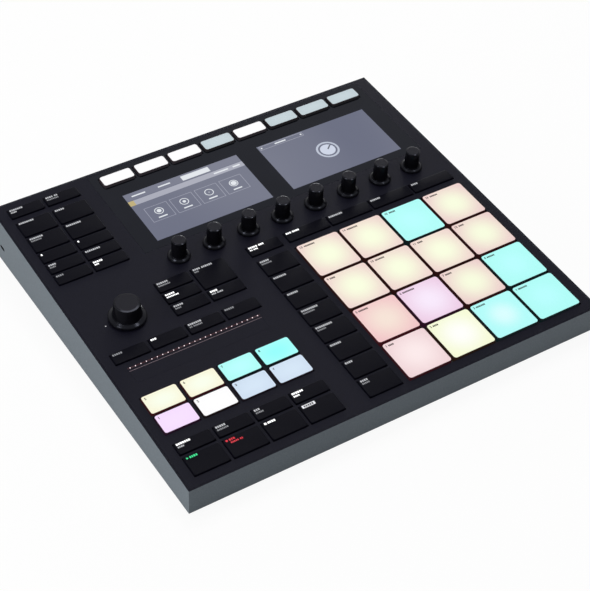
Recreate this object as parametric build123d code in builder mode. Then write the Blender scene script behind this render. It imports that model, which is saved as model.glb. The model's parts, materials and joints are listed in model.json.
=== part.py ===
from build123d import *
import os
from math import atan2, cos, degrees, pi, radians, sin, tan

os.makedirs("parts", exist_ok=True)

# Driving dimensions, in millimetres and degrees.
# Places on the deck are given as u (right, from its left edge) and v (back, from its front edge);
# w is the height above the deck's face, square to it.

# Wedge case
deck_tilt = 3.86
front_height = 22.0
wall = 2.4
rim_width = 1.2
panel_thickness = 2.0
panel_gap = 0.15
base_thickness = 1.5
base_gap = 0.2
foot_height = 1.6
foot_width = 26.0
foot_depth = 9.0
foot_inset = 26.0
post_side = 10.0
post_bite = 1.1
post_height = 7.0
lock_slot_length = 7.0
lock_slot_width = 3.0
lock_slot_inset = 13.0
lock_slot_height = 14.5

# Layout across the deck
side_margin = 8.8
right_margin = 9.0
key_width = 25.7
column_gap = 2.45
left_columns = 4
centre_gap = 18.75
pad_side_gap = 5.2
pad_size = 34.4
pad_gap = 1.6
pads_per_side = 4
window_side_gap = 12.0
window_border = 6.4
window_column_gap = 2.4
display_columns = 8

# Layout along the deck, from the front edge
front_margin = 8.2
small_depth = 10.2
large_depth = 16.2
key_gap = 1.9
transport_gap = 2.4
group_depth = 16.5
group_gap = 1.6
transport_to_group = 8.9
group_to_strip = 12.7
strip_depth = 11.0
strip_to_lights = 2.8
lights_to_keys = 5.9
strip_keys_to_perform = 9.6
perform_rows = 3
pattern_rows = 8
pattern_to_mode = 5.8
pads_to_mode = 6.3
mode_to_knobs = 7.85
knobs_to_window = 5.55
window_to_image = 7.2
image_to_buttons = 13.2
button_depth = 11.4
buttons_to_window_edge = 5.3
browse_top_gap = 5.4
browse_to_edge = 4.8
rear_margin = 3.0

# Keys and pads
key_rise = 1.2
button_rise = 1.8
key_corner = 0.6
key_chamfer = 0.3
key_clearance = 0.25
key_flange = 0.55
key_flange_thickness = 0.7
key_flange_gap = 0.2
key_travel = 1.2
pad_rise = 1.5
pad_corner = 1.4
pad_chamfer = 0.5
pad_flange = 0.6
pad_flange_thickness = 1.3
pad_flange_gap = 0.2
pad_web_clearance = 0.3
pad_frame_thickness = 2.0
pad_frame_border = 3.0
pad_travel = 1.2
press_stop_gap = 0.3

# Boards and mats
board_depth = 9.0
board_thickness = 1.6
board_edge_gap = 2.0
mat_inset = 2.2
standoff_side = 6.0
standoff_inset = 5.0

# Displays under their cover window
window_thickness = 1.0
window_corner = 1.0
window_gap = 0.1
image_width = 95.04
image_depth = 53.86
image_drop = 1.3
module_border_u = 5.25
module_border_v = 6.65
module_gap = 7.1
module_thickness = 3.2
image_opening_gap = 0.6

# Touch strip and its lights
strip_length = 100.0
strip_inset = 5.2
strip_thickness = 0.9
strip_gap = 0.1
light_side = 1.4
light_gap = 0.1
light_bar_thickness = 0.8
light_bar_width = 4.0
nudge_light_offset = 16.3

# Small knobs and their encoders
knob_skirt_radius = 8.25
knob_skirt_edge = 1.0
knob_flange_top = 2.9
knob_neck_radius = 5.5
knob_cap_radius = 5.2
knob_top = 15.7
knob_lift = 0.5
knob_sides = 24
shaft_radius = 3.0
shaft_clearance = 0.15
shaft_tail = 1.0
bore_sides = 8
bushing_radius = 3.6
bushing_gap = 0.25
bushing_drop = 0.2
encoder_side = 12.4
encoder_height = 5.4

# Large push and nudge encoder
nudge_inset_u = 26.5
nudge_inset_v = 15.35
nudge_skirt_radius = 13.3
nudge_skirt_edge = 1.1
nudge_flange_top = 3.6
nudge_neck_radius = 10.2
nudge_cap_radius = 9.1
nudge_top = 14.5
nudge_lift = 1.5
nudge_chamfer = 0.7
nudge_sides = 30
nudge_hole_radius = 4.5
nudge_housing_side = 27.0
nudge_housing_gap = 0.4
pivot_depth = 5.5
ring_side = 20.6
ring_wall = 2.3
ring_clearance = 0.8
ring_height = 2.4
ring_pin_radius = 0.8
ring_pin_reach = 12.8
cradle_clearance = 0.5
cradle_height = 3.0
cradle_pin_radius = 0.7
cradle_pin_reach = 10.0
pin_clearance = 0.15
plunger_radius = 4.3
plunger_clearance = 0.3
plunger_flange_side = 10.4
plunger_flange_thickness = 0.7
plunger_flange_lift = 0.7
plunger_tail = 1.8
nudge_shaft_tail = 1.3

# Rear panel, its sockets, knobs and button
rear_window_width = 276.0
rear_window_height = 20.0
rear_window_corner = 2.0
rear_axis_height = 19.0
rear_panel_thickness = 1.5
rear_panel_lap = 3.0
socket_gap = 0.2
socket_end_inset = 12.0
socket_count = 15
jack_radius = 3.25
jack_nut_radius = 5.4
jack_nut_sides = 6
jack_nut_proud = 2.0
jack_body_width = 15.0
jack_body_height = 13.0
jack_body_length = 18.0
jack_bore_length = 17.0
round_socket_radius = 7.2
round_socket_body = 17.0
round_socket_length = 11.0
square_socket_width = 12.0
square_socket_height = 10.8
square_socket_open_width = 8.5
square_socket_open_height = 7.8
square_socket_length = 16.0
square_socket_depth = 12.0
tongue_width = 5.6
tongue_height = 3.2
tongue_start = 5.5
power_inlet_side = 11.0
power_inlet_bore = 3.2
power_inlet_length = 13.0
power_inlet_depth = 9.0
pot_side = 15.0
pot_length = 8.0
rear_knob_radius = 5.6
rear_knob_projection = 9.0
rear_knob_lift = 0.5
power_button_width = 10.0
power_button_height = 6.0
power_button_rise = 4.4
power_button_travel = 2.0
power_button_flange = 0.8
power_switch_length = 8.0
power_switch_wall = 1.2
power_switch_gap = 0.3

# Places on the deck, worked out from the dimensions above
column_pitch = key_width + column_gap
large_pitch = large_depth + key_gap
small_pitch = small_depth + key_gap
pad_pitch = pad_size + pad_gap
pad_field = pads_per_side * pad_pitch - pad_gap
columns = [side_margin + k * column_pitch for k in range(left_columns)]
left_block_end = columns[-1] + key_width
centre_column = left_block_end + centre_gap
pad_u = centre_column + key_width + pad_side_gap
window_u = columns[1] + key_width + window_side_gap
window_pitch = key_width + window_column_gap
window_width = display_columns * window_pitch - window_column_gap + 2 * window_border
deck_width = max(pad_u + pad_field, window_u + window_width) + right_margin

transport_small_v = front_margin + large_depth + transport_gap
group_v = transport_small_v + small_depth + transport_to_group
strip_v = group_v + 2 * group_depth + group_gap + group_to_strip
lights_v = strip_v + strip_depth + strip_to_lights
strip_keys_v = lights_v + lights_to_keys
left_stack = strip_keys_v + small_depth + strip_keys_to_perform + (perform_rows - 1) * small_pitch
pattern_stack = front_margin + pattern_rows * large_pitch - key_gap + pattern_to_mode
pad_stack = front_margin + pad_field + pads_to_mode
mode_v = max(left_stack, pattern_stack, pad_stack)
perform_v = mode_v - (perform_rows - 1) * small_pitch
knob_v = mode_v + small_depth + mode_to_knobs + knob_skirt_radius
window_v = knob_v + knob_skirt_radius + knobs_to_window
image_v = window_v + window_to_image
button_v = image_v + image_depth + image_to_buttons
window_depth = button_v + button_depth + buttons_to_window_edge - window_v
browse_large_v = window_v + 3 * small_pitch
browse_top_v = browse_large_v + 2 * large_pitch - key_gap + browse_top_gap
browse_end = browse_top_v + small_depth + browse_to_edge
deck_depth = max(window_v + window_depth, browse_end) + rear_margin
nudge_u = columns[0] + nudge_inset_u
nudge_v = perform_v + nudge_inset_v

# The deck in space: the case rests on its feet at height 0, centred front to back on its whole box
tilt = radians(deck_tilt)
rear_run = deck_depth * cos(tilt)
front_y = -(rear_run + rear_knob_projection) / 2
rear_y = front_y + rear_run
front_z = foot_height + front_height * cos(tilt)
base_top = foot_height + base_thickness
deck = Plane(origin=(-deck_width / 2, front_y, front_z), x_dir=(1, 0, 0), z_dir=(0, -sin(tilt), cos(tilt)))
deck_up = Axis(deck.origin, deck.z_dir)
deck_centre = (deck_width / 2, deck_depth / 2)
rear_face = Plane(origin=(0, rear_y, 0), x_dir=(-1, 0, 0), z_dir=(0, 1, 0))
rear_inner = rear_face.offset(-wall)
left_face = Plane(origin=(-deck_width / 2, rear_y, foot_height), x_dir=(0, -1, 0), z_dir=(-1, 0, 0))


def side_point(v, w):
    """A deck place seen from the side, as (y, z)."""
    return (front_y + v * cos(tilt) - w * sin(tilt), front_z + v * sin(tilt) + w * cos(tilt))


def across(u, v, w, direction):
    """A plane at a deck place whose normal is the given deck direction."""
    return Plane(origin=deck.from_local_coords((u, v, w)), x_dir=deck.z_dir, z_dir=direction)


def key_row(lefts, front, width, depth):
    """Keys of one row, each as (centre u, centre v, width, depth)."""
    return [(left + width / 2, front + depth / 2, width, depth) for left in lefts]


# Every key of the deck, block by block
browse_keys = key_row(columns[:2], browse_top_v, key_width, small_depth)
for row in range(3):
    browse_keys += key_row(columns[:2], window_v + row * small_pitch, key_width, small_depth)
for row in range(2):
    browse_keys += key_row(columns[:2], browse_large_v + row * large_pitch, key_width, large_depth)

button_lefts = [window_u + window_border + k * window_pitch for k in range(display_columns)]
display_buttons = key_row(button_lefts, button_v, key_width, button_depth)

perform_keys = key_row(columns, strip_keys_v, key_width, small_depth)
for row in range(perform_rows):
    perform_keys += key_row(columns[2:3], perform_v + row * small_pitch, key_width, small_depth)
perform_keys += key_row(columns[3:], perform_v, key_width, small_depth)
perform_keys += key_row(columns[3:], perform_v + small_pitch, key_width, small_pitch + small_depth)

transport_keys = key_row(columns, front_margin, key_width, large_depth)
transport_keys += key_row(columns, transport_small_v, key_width, small_depth)

pad_lefts = [pad_u + k * pad_pitch for k in range(pads_per_side)]
pattern_keys = key_row([centre_column], mode_v, key_width, small_depth)
pattern_keys += key_row(pad_lefts, mode_v, pad_size, small_depth)
for row in range(pattern_rows):
    pattern_keys += key_row([centre_column], front_margin + row * large_pitch, key_width, large_depth)

group_buttons = key_row(columns, group_v, key_width, group_depth)
group_buttons += key_row(columns, group_v + group_depth + group_gap, key_width, group_depth)

all_keys = browse_keys + display_buttons + perform_keys + transport_keys + pattern_keys + group_buttons
pad_fronts = [front_margin + k * pad_pitch for k in range(pads_per_side)]
pad_centre = (pad_u + pad_field / 2, front_margin + pad_field / 2)
knob_places = [(left + key_width / 2, knob_v) for left in button_lefts]
module_width = image_width + 2 * module_border_u
module_depth = image_depth + 2 * module_border_v
image_spread = (module_width + module_gap) / 2
window_centre = (window_u + window_width / 2, window_v + window_depth / 2)
image_places = [(window_centre[0] + side * image_spread, image_v + image_depth / 2) for side in (-1, 1)]
strip_u = side_margin + strip_inset
strip_centre = (strip_u + strip_length / 2, strip_v + strip_depth / 2)
light_centre = (strip_centre[0], lights_v)
nudge_light = (nudge_u - nudge_light_offset, nudge_v)
gutter_u = left_block_end + centre_gap / 2
standoff_places = [(gutter_u, v) for v in (front_margin + standoff_inset, mode_v / 2, mode_v)]
standoff_places += [(columns[0] + standoff_inset, knob_v), (window_u + window_width - standoff_inset, knob_v)]

# Heights under the deck, measured square to it
under_panel = -panel_thickness
key_flange_top = under_panel - key_flange_gap
key_bottom = key_flange_top - key_flange_thickness
web_bottom = under_panel - pad_frame_thickness
pad_flange_top = web_bottom - pad_flange_gap
pad_bottom = pad_flange_top - pad_flange_thickness
board_top = -board_depth
pivot_w = -pivot_depth

# Places of the posts that hold the base plate, seen from above
inner_front_y = side_point(wall, -front_height)[0] + wall * tan(tilt)
post_x = deck_width / 2 - wall - post_side / 2 + post_bite
post_front_y = inner_front_y + post_side / 2 - post_bite
post_rear_y = rear_y - wall - rear_panel_thickness - post_side / 2
post_places = [(side * post_x, y) for side in (-1, 1) for y in (post_front_y, 0.0, post_rear_y)]
foot_x = deck_width / 2 - foot_inset
foot_places = [(sx * foot_x, sy) for sx in (-1, 1) for sy in (front_y + foot_inset, rear_y - foot_inset)]

# Places along the rear panel, counted from the left as seen from the front
socket_span = rear_window_width - 2 * socket_end_inset
socket_pitch = socket_span / (socket_count - 1)
socket_x = [k * socket_pitch - socket_span / 2 for k in range(socket_count)]
power_button_x = socket_x[0]
power_inlet_x = socket_x[1]
square_socket_x = socket_x[2]
round_socket_x = (socket_x[3] + socket_pitch / 4, socket_x[4] + socket_pitch / 2)
jack_x = (socket_x[6], socket_x[7], socket_x[8], socket_x[9], socket_x[10], socket_x[14])
rear_knob_x = (socket_x[11], socket_x[12], socket_x[13])


def rear_places(xs):
    """Places on the rear face for the given positions across the case."""
    return [(-x, rear_axis_height) for x in xs]


# Case frame: wedge walls with a rim round the panel, posts, a rear window and a lock slot
overcut = 2 * wall
with BuildPart() as case_frame:
    with BuildSketch(Plane.YZ):
        with BuildLine():
            Polyline(
                side_point(0, 0),
                side_point(0, -front_height),
                (rear_y, foot_height),
                (rear_y, side_point(deck_depth, 0)[1]),
                close=True,
            )
        make_face()
    extrude(amount=deck_width / 2, both=True)
    with BuildSketch(Plane.YZ):
        with BuildLine():
            Polyline(
                side_point(wall, overcut),
                side_point(wall, -front_height - overcut),
                (rear_y - wall, foot_height - overcut),
                (rear_y - wall, side_point(deck_depth, 0)[1] + overcut),
                close=True,
            )
        make_face()
    extrude(amount=deck_width / 2 - wall, both=True, mode=Mode.SUBTRACT)
    with BuildSketch(deck):
        with Locations(deck_centre):
            Rectangle(deck_width - 2 * rim_width, deck_depth - 2 * rim_width)
    extrude(amount=-panel_thickness, mode=Mode.SUBTRACT)
    with BuildSketch(Plane.XY.offset(base_top)):
        with Locations(*post_places):
            Rectangle(post_side, post_side)
    extrude(amount=post_height)
    with BuildSketch(rear_face):
        with Locations((0, rear_axis_height)):
            RectangleRounded(rear_window_width, rear_window_height, rear_window_corner)
    extrude(amount=-wall, mode=Mode.SUBTRACT)
    with BuildSketch(left_face):
        with Locations((lock_slot_inset, lock_slot_height)):
            SlotOverall(lock_slot_length, lock_slot_width)
    extrude(amount=-wall, mode=Mode.SUBTRACT)
case_frame.part.label = "case_frame"
export_step(case_frame.part, "parts/case_frame.step")

# Base plate: lies between the walls, against the posts
base_front_y = inner_front_y + base_gap
base_rear_y = rear_y - wall - base_gap
base_width = deck_width - 2 * (wall + base_gap)
with BuildPart() as base_plate:
    with BuildSketch(Plane.XY.offset(foot_height)):
        with Locations((0, (base_front_y + base_rear_y) / 2)):
            Rectangle(base_width, base_rear_y - base_front_y)
    extrude(amount=base_thickness)
base_plate.part.label = "base_plate"
export_step(base_plate.part, "parts/base_plate.step")

# Rubber feet: strips stuck to the base plate
with BuildPart() as rubber_feet:
    with BuildSketch(Plane.XY):
        with Locations(*foot_places):
            Rectangle(foot_width, foot_depth)
    extrude(amount=foot_height)
rubber_feet.part.label = "rubber_feet"
export_step(rubber_feet.part, "parts/rubber_feet.step")

# Top panel: one plate with every cut-out, the window and strip recesses, and standoffs for the board
panel_width = deck_width - 2 * (rim_width + panel_gap)
panel_depth = deck_depth - 2 * (rim_width + panel_gap)
with BuildPart() as top_panel:
    with BuildSketch(deck):
        with Locations(deck_centre):
            Rectangle(panel_width, panel_depth)
        for u, v, width, depth in all_keys:
            with Locations((u, v)):
                Rectangle(width + 2 * key_clearance, depth + 2 * key_clearance, mode=Mode.SUBTRACT)
        with Locations(pad_centre):
            pad_opening = pad_field + 2 * pad_web_clearance
            Rectangle(pad_opening, pad_opening, mode=Mode.SUBTRACT)
        with Locations(*image_places):
            opening_width = image_width + 2 * image_opening_gap
            Rectangle(opening_width, image_depth + 2 * image_opening_gap, mode=Mode.SUBTRACT)
        with Locations(*knob_places):
            RegularPolygon(bushing_radius + bushing_gap, bore_sides, major_radius=False, mode=Mode.SUBTRACT)
        with Locations((nudge_u, nudge_v)):
            Circle(nudge_hole_radius, mode=Mode.SUBTRACT)
        with Locations(light_centre):
            Rectangle(strip_length + 2 * light_gap, light_side + 2 * light_gap, mode=Mode.SUBTRACT)
        with Locations(nudge_light):
            Rectangle(light_side + 2 * light_gap, light_side + 2 * light_gap, mode=Mode.SUBTRACT)
    extrude(amount=-panel_thickness)
    with BuildSketch(deck):
        with Locations(window_centre):
            RectangleRounded(window_width, window_depth, window_corner)
    extrude(amount=-window_thickness, mode=Mode.SUBTRACT)
    with BuildSketch(deck):
        with Locations(strip_centre):
            Rectangle(strip_length + 2 * strip_gap, strip_depth + 2 * strip_gap)
    extrude(amount=-strip_thickness, mode=Mode.SUBTRACT)
    with BuildSketch(deck.offset(under_panel)):
        with Locations(*standoff_places):
            Rectangle(standoff_side, standoff_side)
    extrude(amount=board_top - under_panel)
top_panel.part.label = "top_panel"
export_step(top_panel.part, "parts/top_panel.step")

# Display window: one clear cover over both displays, cut out round the display buttons
with BuildPart() as display_window:
    with BuildSketch(deck):
        with Locations(window_centre):
            RectangleRounded(window_width - 2 * window_gap, window_depth - 2 * window_gap, window_corner)
        for u, v, width, depth in display_buttons:
            with Locations((u, v)):
                Rectangle(width + 2 * key_clearance, depth + 2 * key_clearance, mode=Mode.SUBTRACT)
    extrude(amount=-window_thickness)
display_window.part.label = "display_window"
export_step(display_window.part, "parts/display_window.step")

# Display modules: frames fixed under the panel, with their glass standing in the openings
with BuildPart() as display_modules:
    with BuildSketch(deck.offset(under_panel)):
        with Locations(*image_places):
            Rectangle(module_width, module_depth)
    extrude(amount=-module_thickness)
    with BuildSketch(deck.offset(under_panel)):
        with Locations(*image_places):
            Rectangle(image_width, image_depth)
    extrude(amount=panel_thickness - image_drop)
display_modules.part.label = "display_modules"
export_step(display_modules.part, "parts/display_modules.step")

# Touch strip: flush insert, with the light bar behind it and the light beside the large knob
with BuildPart() as touch_strip:
    with BuildSketch(deck.offset(-strip_thickness)):
        with Locations(strip_centre):
            Rectangle(strip_length, strip_depth)
    extrude(amount=strip_thickness)
    with BuildSketch(deck):
        with Locations(light_centre):
            Rectangle(strip_length, light_side)
        with Locations(nudge_light):
            Rectangle(light_side, light_side)
    extrude(amount=under_panel)
    with BuildSketch(deck.offset(under_panel)):
        with Locations(light_centre):
            Rectangle(strip_length, light_bar_width)
        with Locations(nudge_light):
            Rectangle(light_bar_width, light_bar_width)
    extrude(amount=-light_bar_thickness)
touch_strip.part.label = "touch_strip"
export_step(touch_strip.part, "parts/touch_strip.step")

# Main board: hangs on the panel's standoffs, over the whole inside
board_front = wall + board_edge_gap
board_rear = deck_depth - wall - rear_panel_thickness - board_edge_gap
with BuildPart() as main_board:
    with BuildSketch(deck.offset(board_top)):
        with Locations((deck_width / 2, (board_front + board_rear) / 2)):
            Rectangle(deck_width - 2 * board_front, board_rear - board_front)
    extrude(amount=-board_thickness)
main_board.part.label = "main_board"
export_step(main_board.part, "parts/main_board.step")

# Pad frame: border under the panel's pad window, with thin webs in the gaps between the pads
frame_side = pad_field + 2 * pad_frame_border
web_opening = pad_size + 2 * pad_web_clearance
with BuildPart() as pad_frame:
    with BuildSketch(deck.offset(under_panel)):
        with Locations(pad_centre):
            Rectangle(frame_side, frame_side)
            with GridLocations(pad_pitch, pad_pitch, pads_per_side, pads_per_side):
                Rectangle(web_opening, web_opening, mode=Mode.SUBTRACT)
    extrude(amount=-pad_frame_thickness)
pad_frame.part.label = "pad_frame"
export_step(pad_frame.part, "parts/pad_frame.step")

# Pad sensor sheet: lies on the board, just under the pads at full travel
sensor_top = pad_bottom - pad_travel - press_stop_gap
with BuildPart() as pad_sensor_sheet:
    with BuildSketch(deck.offset(board_top)):
        with Locations(pad_centre):
            Rectangle(pad_field, pad_field)
    extrude(amount=sensor_top - board_top)
pad_sensor_sheet.part.label = "pad_sensor_sheet"
export_step(pad_sensor_sheet.part, "parts/pad_sensor_sheet.step")

# Key mats: one on the board under each block of keys, just under the keys at full travel
mat_top = key_bottom - key_travel - press_stop_gap
strip_keys = perform_keys[:left_columns]
corner_keys = perform_keys[left_columns:]
mode_keys = pattern_keys[:1 + pads_per_side]
column_keys = pattern_keys[1 + pads_per_side:]
with BuildPart() as key_mats:
    with BuildSketch(deck.offset(board_top)):
        for keys in (browse_keys, display_buttons, strip_keys, corner_keys, transport_keys, mode_keys,
                     column_keys, group_buttons):
            left = min(u - width / 2 for u, v, width, depth in keys) + mat_inset
            right = max(u + width / 2 for u, v, width, depth in keys) - mat_inset
            front = min(v - depth / 2 for u, v, width, depth in keys) + mat_inset
            rear = max(v + depth / 2 for u, v, width, depth in keys) - mat_inset
            with Locations(((left + right) / 2, (front + rear) / 2)):
                Rectangle(right - left, rear - front)
    extrude(amount=mat_top - board_top)
key_mats.part.label = "key_mats"
export_step(key_mats.part, "parts/key_mats.step")

# Encoder bodies: eight housings with bushings, and the housing of the large encoder
with BuildPart() as encoder_bodies:
    with BuildSketch(deck.offset(board_top)):
        with Locations(*knob_places):
            Rectangle(encoder_side, encoder_side)
    extrude(amount=encoder_height)
    with BuildSketch(deck.offset(board_top)):
        with Locations(*knob_places):
            RegularPolygon(bushing_radius, bore_sides, major_radius=False)
    extrude(amount=board_depth - bushing_drop)
    with BuildSketch(deck.offset(board_top)):
        with Locations(*knob_places):
            RegularPolygon(shaft_radius + shaft_clearance, bore_sides, major_radius=False)
    extrude(amount=board_depth, mode=Mode.SUBTRACT)
    with BuildSketch(deck.offset(board_top)):
        with Locations((nudge_u, nudge_v)):
            Rectangle(nudge_housing_side, nudge_housing_side)
            Rectangle(ring_side + 2 * ring_clearance, ring_side + 2 * ring_clearance, mode=Mode.SUBTRACT)
    extrude(amount=under_panel - nudge_housing_gap - board_top)
    with BuildSketch(across(nudge_u, nudge_v, pivot_w, deck.x_dir)):
        RegularPolygon(ring_pin_radius + pin_clearance, bore_sides, major_radius=False)
    extrude(amount=nudge_housing_side / 2, both=True, mode=Mode.SUBTRACT)
encoder_bodies.part.label = "encoder_bodies"
export_step(encoder_bodies.part, "parts/encoder_bodies.step")

# Gimbal ring of the large encoder: turns on two pins along u
ring_opening = ring_side - 2 * ring_wall
with BuildPart() as gimbal_ring:
    with BuildSketch(deck.offset(pivot_w - ring_height / 2)):
        with Locations((nudge_u, nudge_v)):
            Rectangle(ring_side, ring_side)
    extrude(amount=ring_height)
    with BuildSketch(across(nudge_u, nudge_v, pivot_w, deck.x_dir)):
        RegularPolygon(ring_pin_radius, bore_sides)
    extrude(amount=ring_pin_reach, both=True)
    with BuildSketch(deck.offset(pivot_w - ring_height / 2)):
        with Locations((nudge_u, nudge_v)):
            Rectangle(ring_opening, ring_opening)
    extrude(amount=ring_height, mode=Mode.SUBTRACT)
    with BuildSketch(across(nudge_u, nudge_v, pivot_w, deck.y_dir)):
        RegularPolygon(cradle_pin_radius + pin_clearance, bore_sides, major_radius=False)
    extrude(amount=ring_side / 2, both=True, mode=Mode.SUBTRACT)
gimbal_ring.part.label = "gimbal_ring"
export_step(gimbal_ring.part, "parts/gimbal_ring.step")

# Gimbal cradle: turns in the ring on two pins along v
cradle_side = ring_opening - 2 * cradle_clearance
with BuildPart() as gimbal_cradle:
    with BuildSketch(deck.offset(pivot_w - cradle_height / 2)):
        with Locations((nudge_u, nudge_v)):
            Rectangle(cradle_side, cradle_side)
    extrude(amount=cradle_height)
    with BuildSketch(across(nudge_u, nudge_v, pivot_w, deck.y_dir)):
        RegularPolygon(cradle_pin_radius, bore_sides)
    extrude(amount=cradle_pin_reach, both=True)
    with BuildSketch(deck.offset(pivot_w - cradle_height / 2)):
        with Locations((nudge_u, nudge_v)):
            RegularPolygon(plunger_radius + plunger_clearance, bore_sides, major_radius=False)
    extrude(amount=cradle_height, mode=Mode.SUBTRACT)
gimbal_cradle.part.label = "gimbal_cradle"
export_step(gimbal_cradle.part, "parts/gimbal_cradle.step")

# Plunger: flanged sleeve that slides in the cradle and carries the large knob's shaft
plunger_flange_bottom = pivot_w + cradle_height / 2 + plunger_flange_lift
with BuildPart() as encoder_plunger:
    with BuildSketch(deck.offset(pivot_w - plunger_tail)):
        with Locations((nudge_u, nudge_v)):
            RegularPolygon(plunger_radius, bore_sides, major_radius=False)
    extrude(amount=plunger_flange_bottom - pivot_w + plunger_tail)
    with BuildSketch(deck.offset(plunger_flange_bottom)):
        with Locations((nudge_u, nudge_v)):
            Rectangle(plunger_flange_side, plunger_flange_side)
    extrude(amount=plunger_flange_thickness)
    with BuildSketch(deck.offset(pivot_w - plunger_tail)):
        with Locations((nudge_u, nudge_v)):
            RegularPolygon(shaft_radius + shaft_clearance, bore_sides, major_radius=False)
    extrude(amount=plunger_tail - pivot_w, mode=Mode.SUBTRACT)
encoder_plunger.part.label = "encoder_plunger"
export_step(encoder_plunger.part, "parts/encoder_plunger.step")


def turned(u, v, sections, sides):
    """A many-sided turning about the deck normal at (u, v).

    Each section is (radius below, radius above, height below, height above), from the bottom up.
    """
    with BuildPart() as turning:
        for below, above, low, high in sections:
            with BuildSketch(deck.offset(low)):
                with Locations((u, v)):
                    RegularPolygon(below, sides)
            narrowing = (below - above) * cos(pi / sides)
            extrude(amount=high - low, taper=degrees(atan2(narrowing, high - low)))
    return turning.part


# Large knob: shaft, skirt, sloping flange and a cap with a chamfered rim
nudge_skirt_top = nudge_lift + nudge_skirt_edge
nudge_sections = [
    (shaft_radius, shaft_radius, pivot_w - nudge_shaft_tail, nudge_lift),
    (nudge_skirt_radius, nudge_skirt_radius, nudge_lift, nudge_skirt_top),
    (nudge_skirt_radius, nudge_neck_radius, nudge_skirt_top, nudge_flange_top),
    (nudge_neck_radius, nudge_cap_radius, nudge_flange_top, nudge_top - nudge_chamfer),
    (nudge_cap_radius, nudge_cap_radius - nudge_chamfer, nudge_top - nudge_chamfer, nudge_top),
]
main_knob = turned(nudge_u, nudge_v, nudge_sections, nudge_sides)
main_knob.label = "main_knob"
export_step(main_knob, "parts/main_knob.step")

# Small knobs: the same form without the chamfer
knob_skirt_top = knob_lift + knob_skirt_edge
knob_sections = [
    (shaft_radius, shaft_radius, board_top + shaft_tail, knob_lift),
    (knob_skirt_radius, knob_skirt_radius, knob_lift, knob_skirt_top),
    (knob_skirt_radius, knob_neck_radius, knob_skirt_top, knob_flange_top),
    (knob_neck_radius, knob_cap_radius, knob_flange_top, knob_top),
]
for number, (u, v) in enumerate(knob_places, 1):
    knob = turned(u, v, knob_sections, knob_sides)
    knob.label = f"knob_{number}"
    export_step(knob, f"parts/knob_{number}.step")

# Pads: soft blocks held down by their flanges under the pad frame's webs
pads = [(left + pad_size / 2, front + pad_size / 2) for front in pad_fronts for left in pad_lefts]
for number, place in enumerate(pads, 1):
    with BuildPart() as pad:
        with BuildSketch(deck.offset(pad_bottom)):
            with Locations(place):
                Rectangle(pad_size + 2 * pad_flange, pad_size + 2 * pad_flange)
        extrude(amount=pad_flange_thickness)
        with BuildSketch(deck.offset(pad_flange_top)) as plan:
            with Locations(place):
                Rectangle(pad_size, pad_size)
            chamfer(plan.vertices(), length=pad_corner)
        extrude(amount=pad_rise - pad_flange_top)
        chamfer(pad.edges().group_by(deck_up)[-1], length=pad_chamfer)
    pad.part.label = f"pad_{number}"
    export_step(pad.part, f"parts/pad_{number}.step")


def key_caps(keys, rise):
    """Key caps through the panel's cut-outs, with flanges that hold them under the panel."""
    with BuildPart() as caps:
        with BuildSketch(deck.offset(key_bottom)):
            for u, v, width, depth in keys:
                with Locations((u, v)):
                    Rectangle(width + 2 * key_flange, depth + 2 * key_flange)
        extrude(amount=key_flange_thickness)
        with BuildSketch(deck.offset(key_flange_top)) as plan:
            for u, v, width, depth in keys:
                with Locations((u, v)):
                    Rectangle(width, depth)
            chamfer(plan.vertices(), length=key_corner)
        extrude(amount=rise - key_flange_top)
        chamfer(caps.edges().group_by(deck_up)[-1], length=key_chamfer)
    return caps.part


key_blocks = {
    "browse_keys": (browse_keys, key_rise),
    "display_buttons": (display_buttons, button_rise),
    "perform_keys": (perform_keys, key_rise),
    "transport_keys": (transport_keys, key_rise),
    "pattern_keys": (pattern_keys, key_rise),
}
key_blocks |= {f"group_button_{k}": ([key], key_rise) for k, key in enumerate(group_buttons, 1)}
for name, (keys, rise) in key_blocks.items():
    block = key_caps(keys, rise)
    block.label = name
    export_step(block, f"parts/{name}.step")

# Rear panel: plate behind the rear window with a hole for every socket, knob and button
rear_panel_width = rear_window_width + 2 * rear_panel_lap
rear_panel_height = rear_window_height + 2 * rear_panel_lap
with BuildPart() as rear_panel:
    with BuildSketch(rear_inner):
        with Locations((0, rear_axis_height)):
            Rectangle(rear_panel_width, rear_panel_height)
        with Locations(*rear_places(jack_x)):
            nut_hole = jack_nut_radius + socket_gap
            RegularPolygon(nut_hole, jack_nut_sides, major_radius=False, mode=Mode.SUBTRACT)
        with Locations(*rear_places(round_socket_x)):
            Circle(round_socket_radius, mode=Mode.SUBTRACT)
        with Locations(*rear_places([square_socket_x])):
            hole_width = square_socket_width + 2 * socket_gap
            Rectangle(hole_width, square_socket_height + 2 * socket_gap, mode=Mode.SUBTRACT)
        with Locations(*rear_places([power_inlet_x])):
            hole_side = power_inlet_side + 2 * socket_gap
            Rectangle(hole_side, hole_side, mode=Mode.SUBTRACT)
        with Locations(*rear_places(rear_knob_x)):
            RegularPolygon(bushing_radius + socket_gap, bore_sides, major_radius=False, mode=Mode.SUBTRACT)
        with Locations(*rear_places([power_button_x])):
            hole_width = power_button_width + 2 * key_clearance
            Rectangle(hole_width, power_button_height + 2 * key_clearance, mode=Mode.SUBTRACT)
    extrude(amount=-rear_panel_thickness)
rear_panel.part.label = "rear_panel"
export_step(rear_panel.part, "parts/rear_panel.step")

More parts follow.
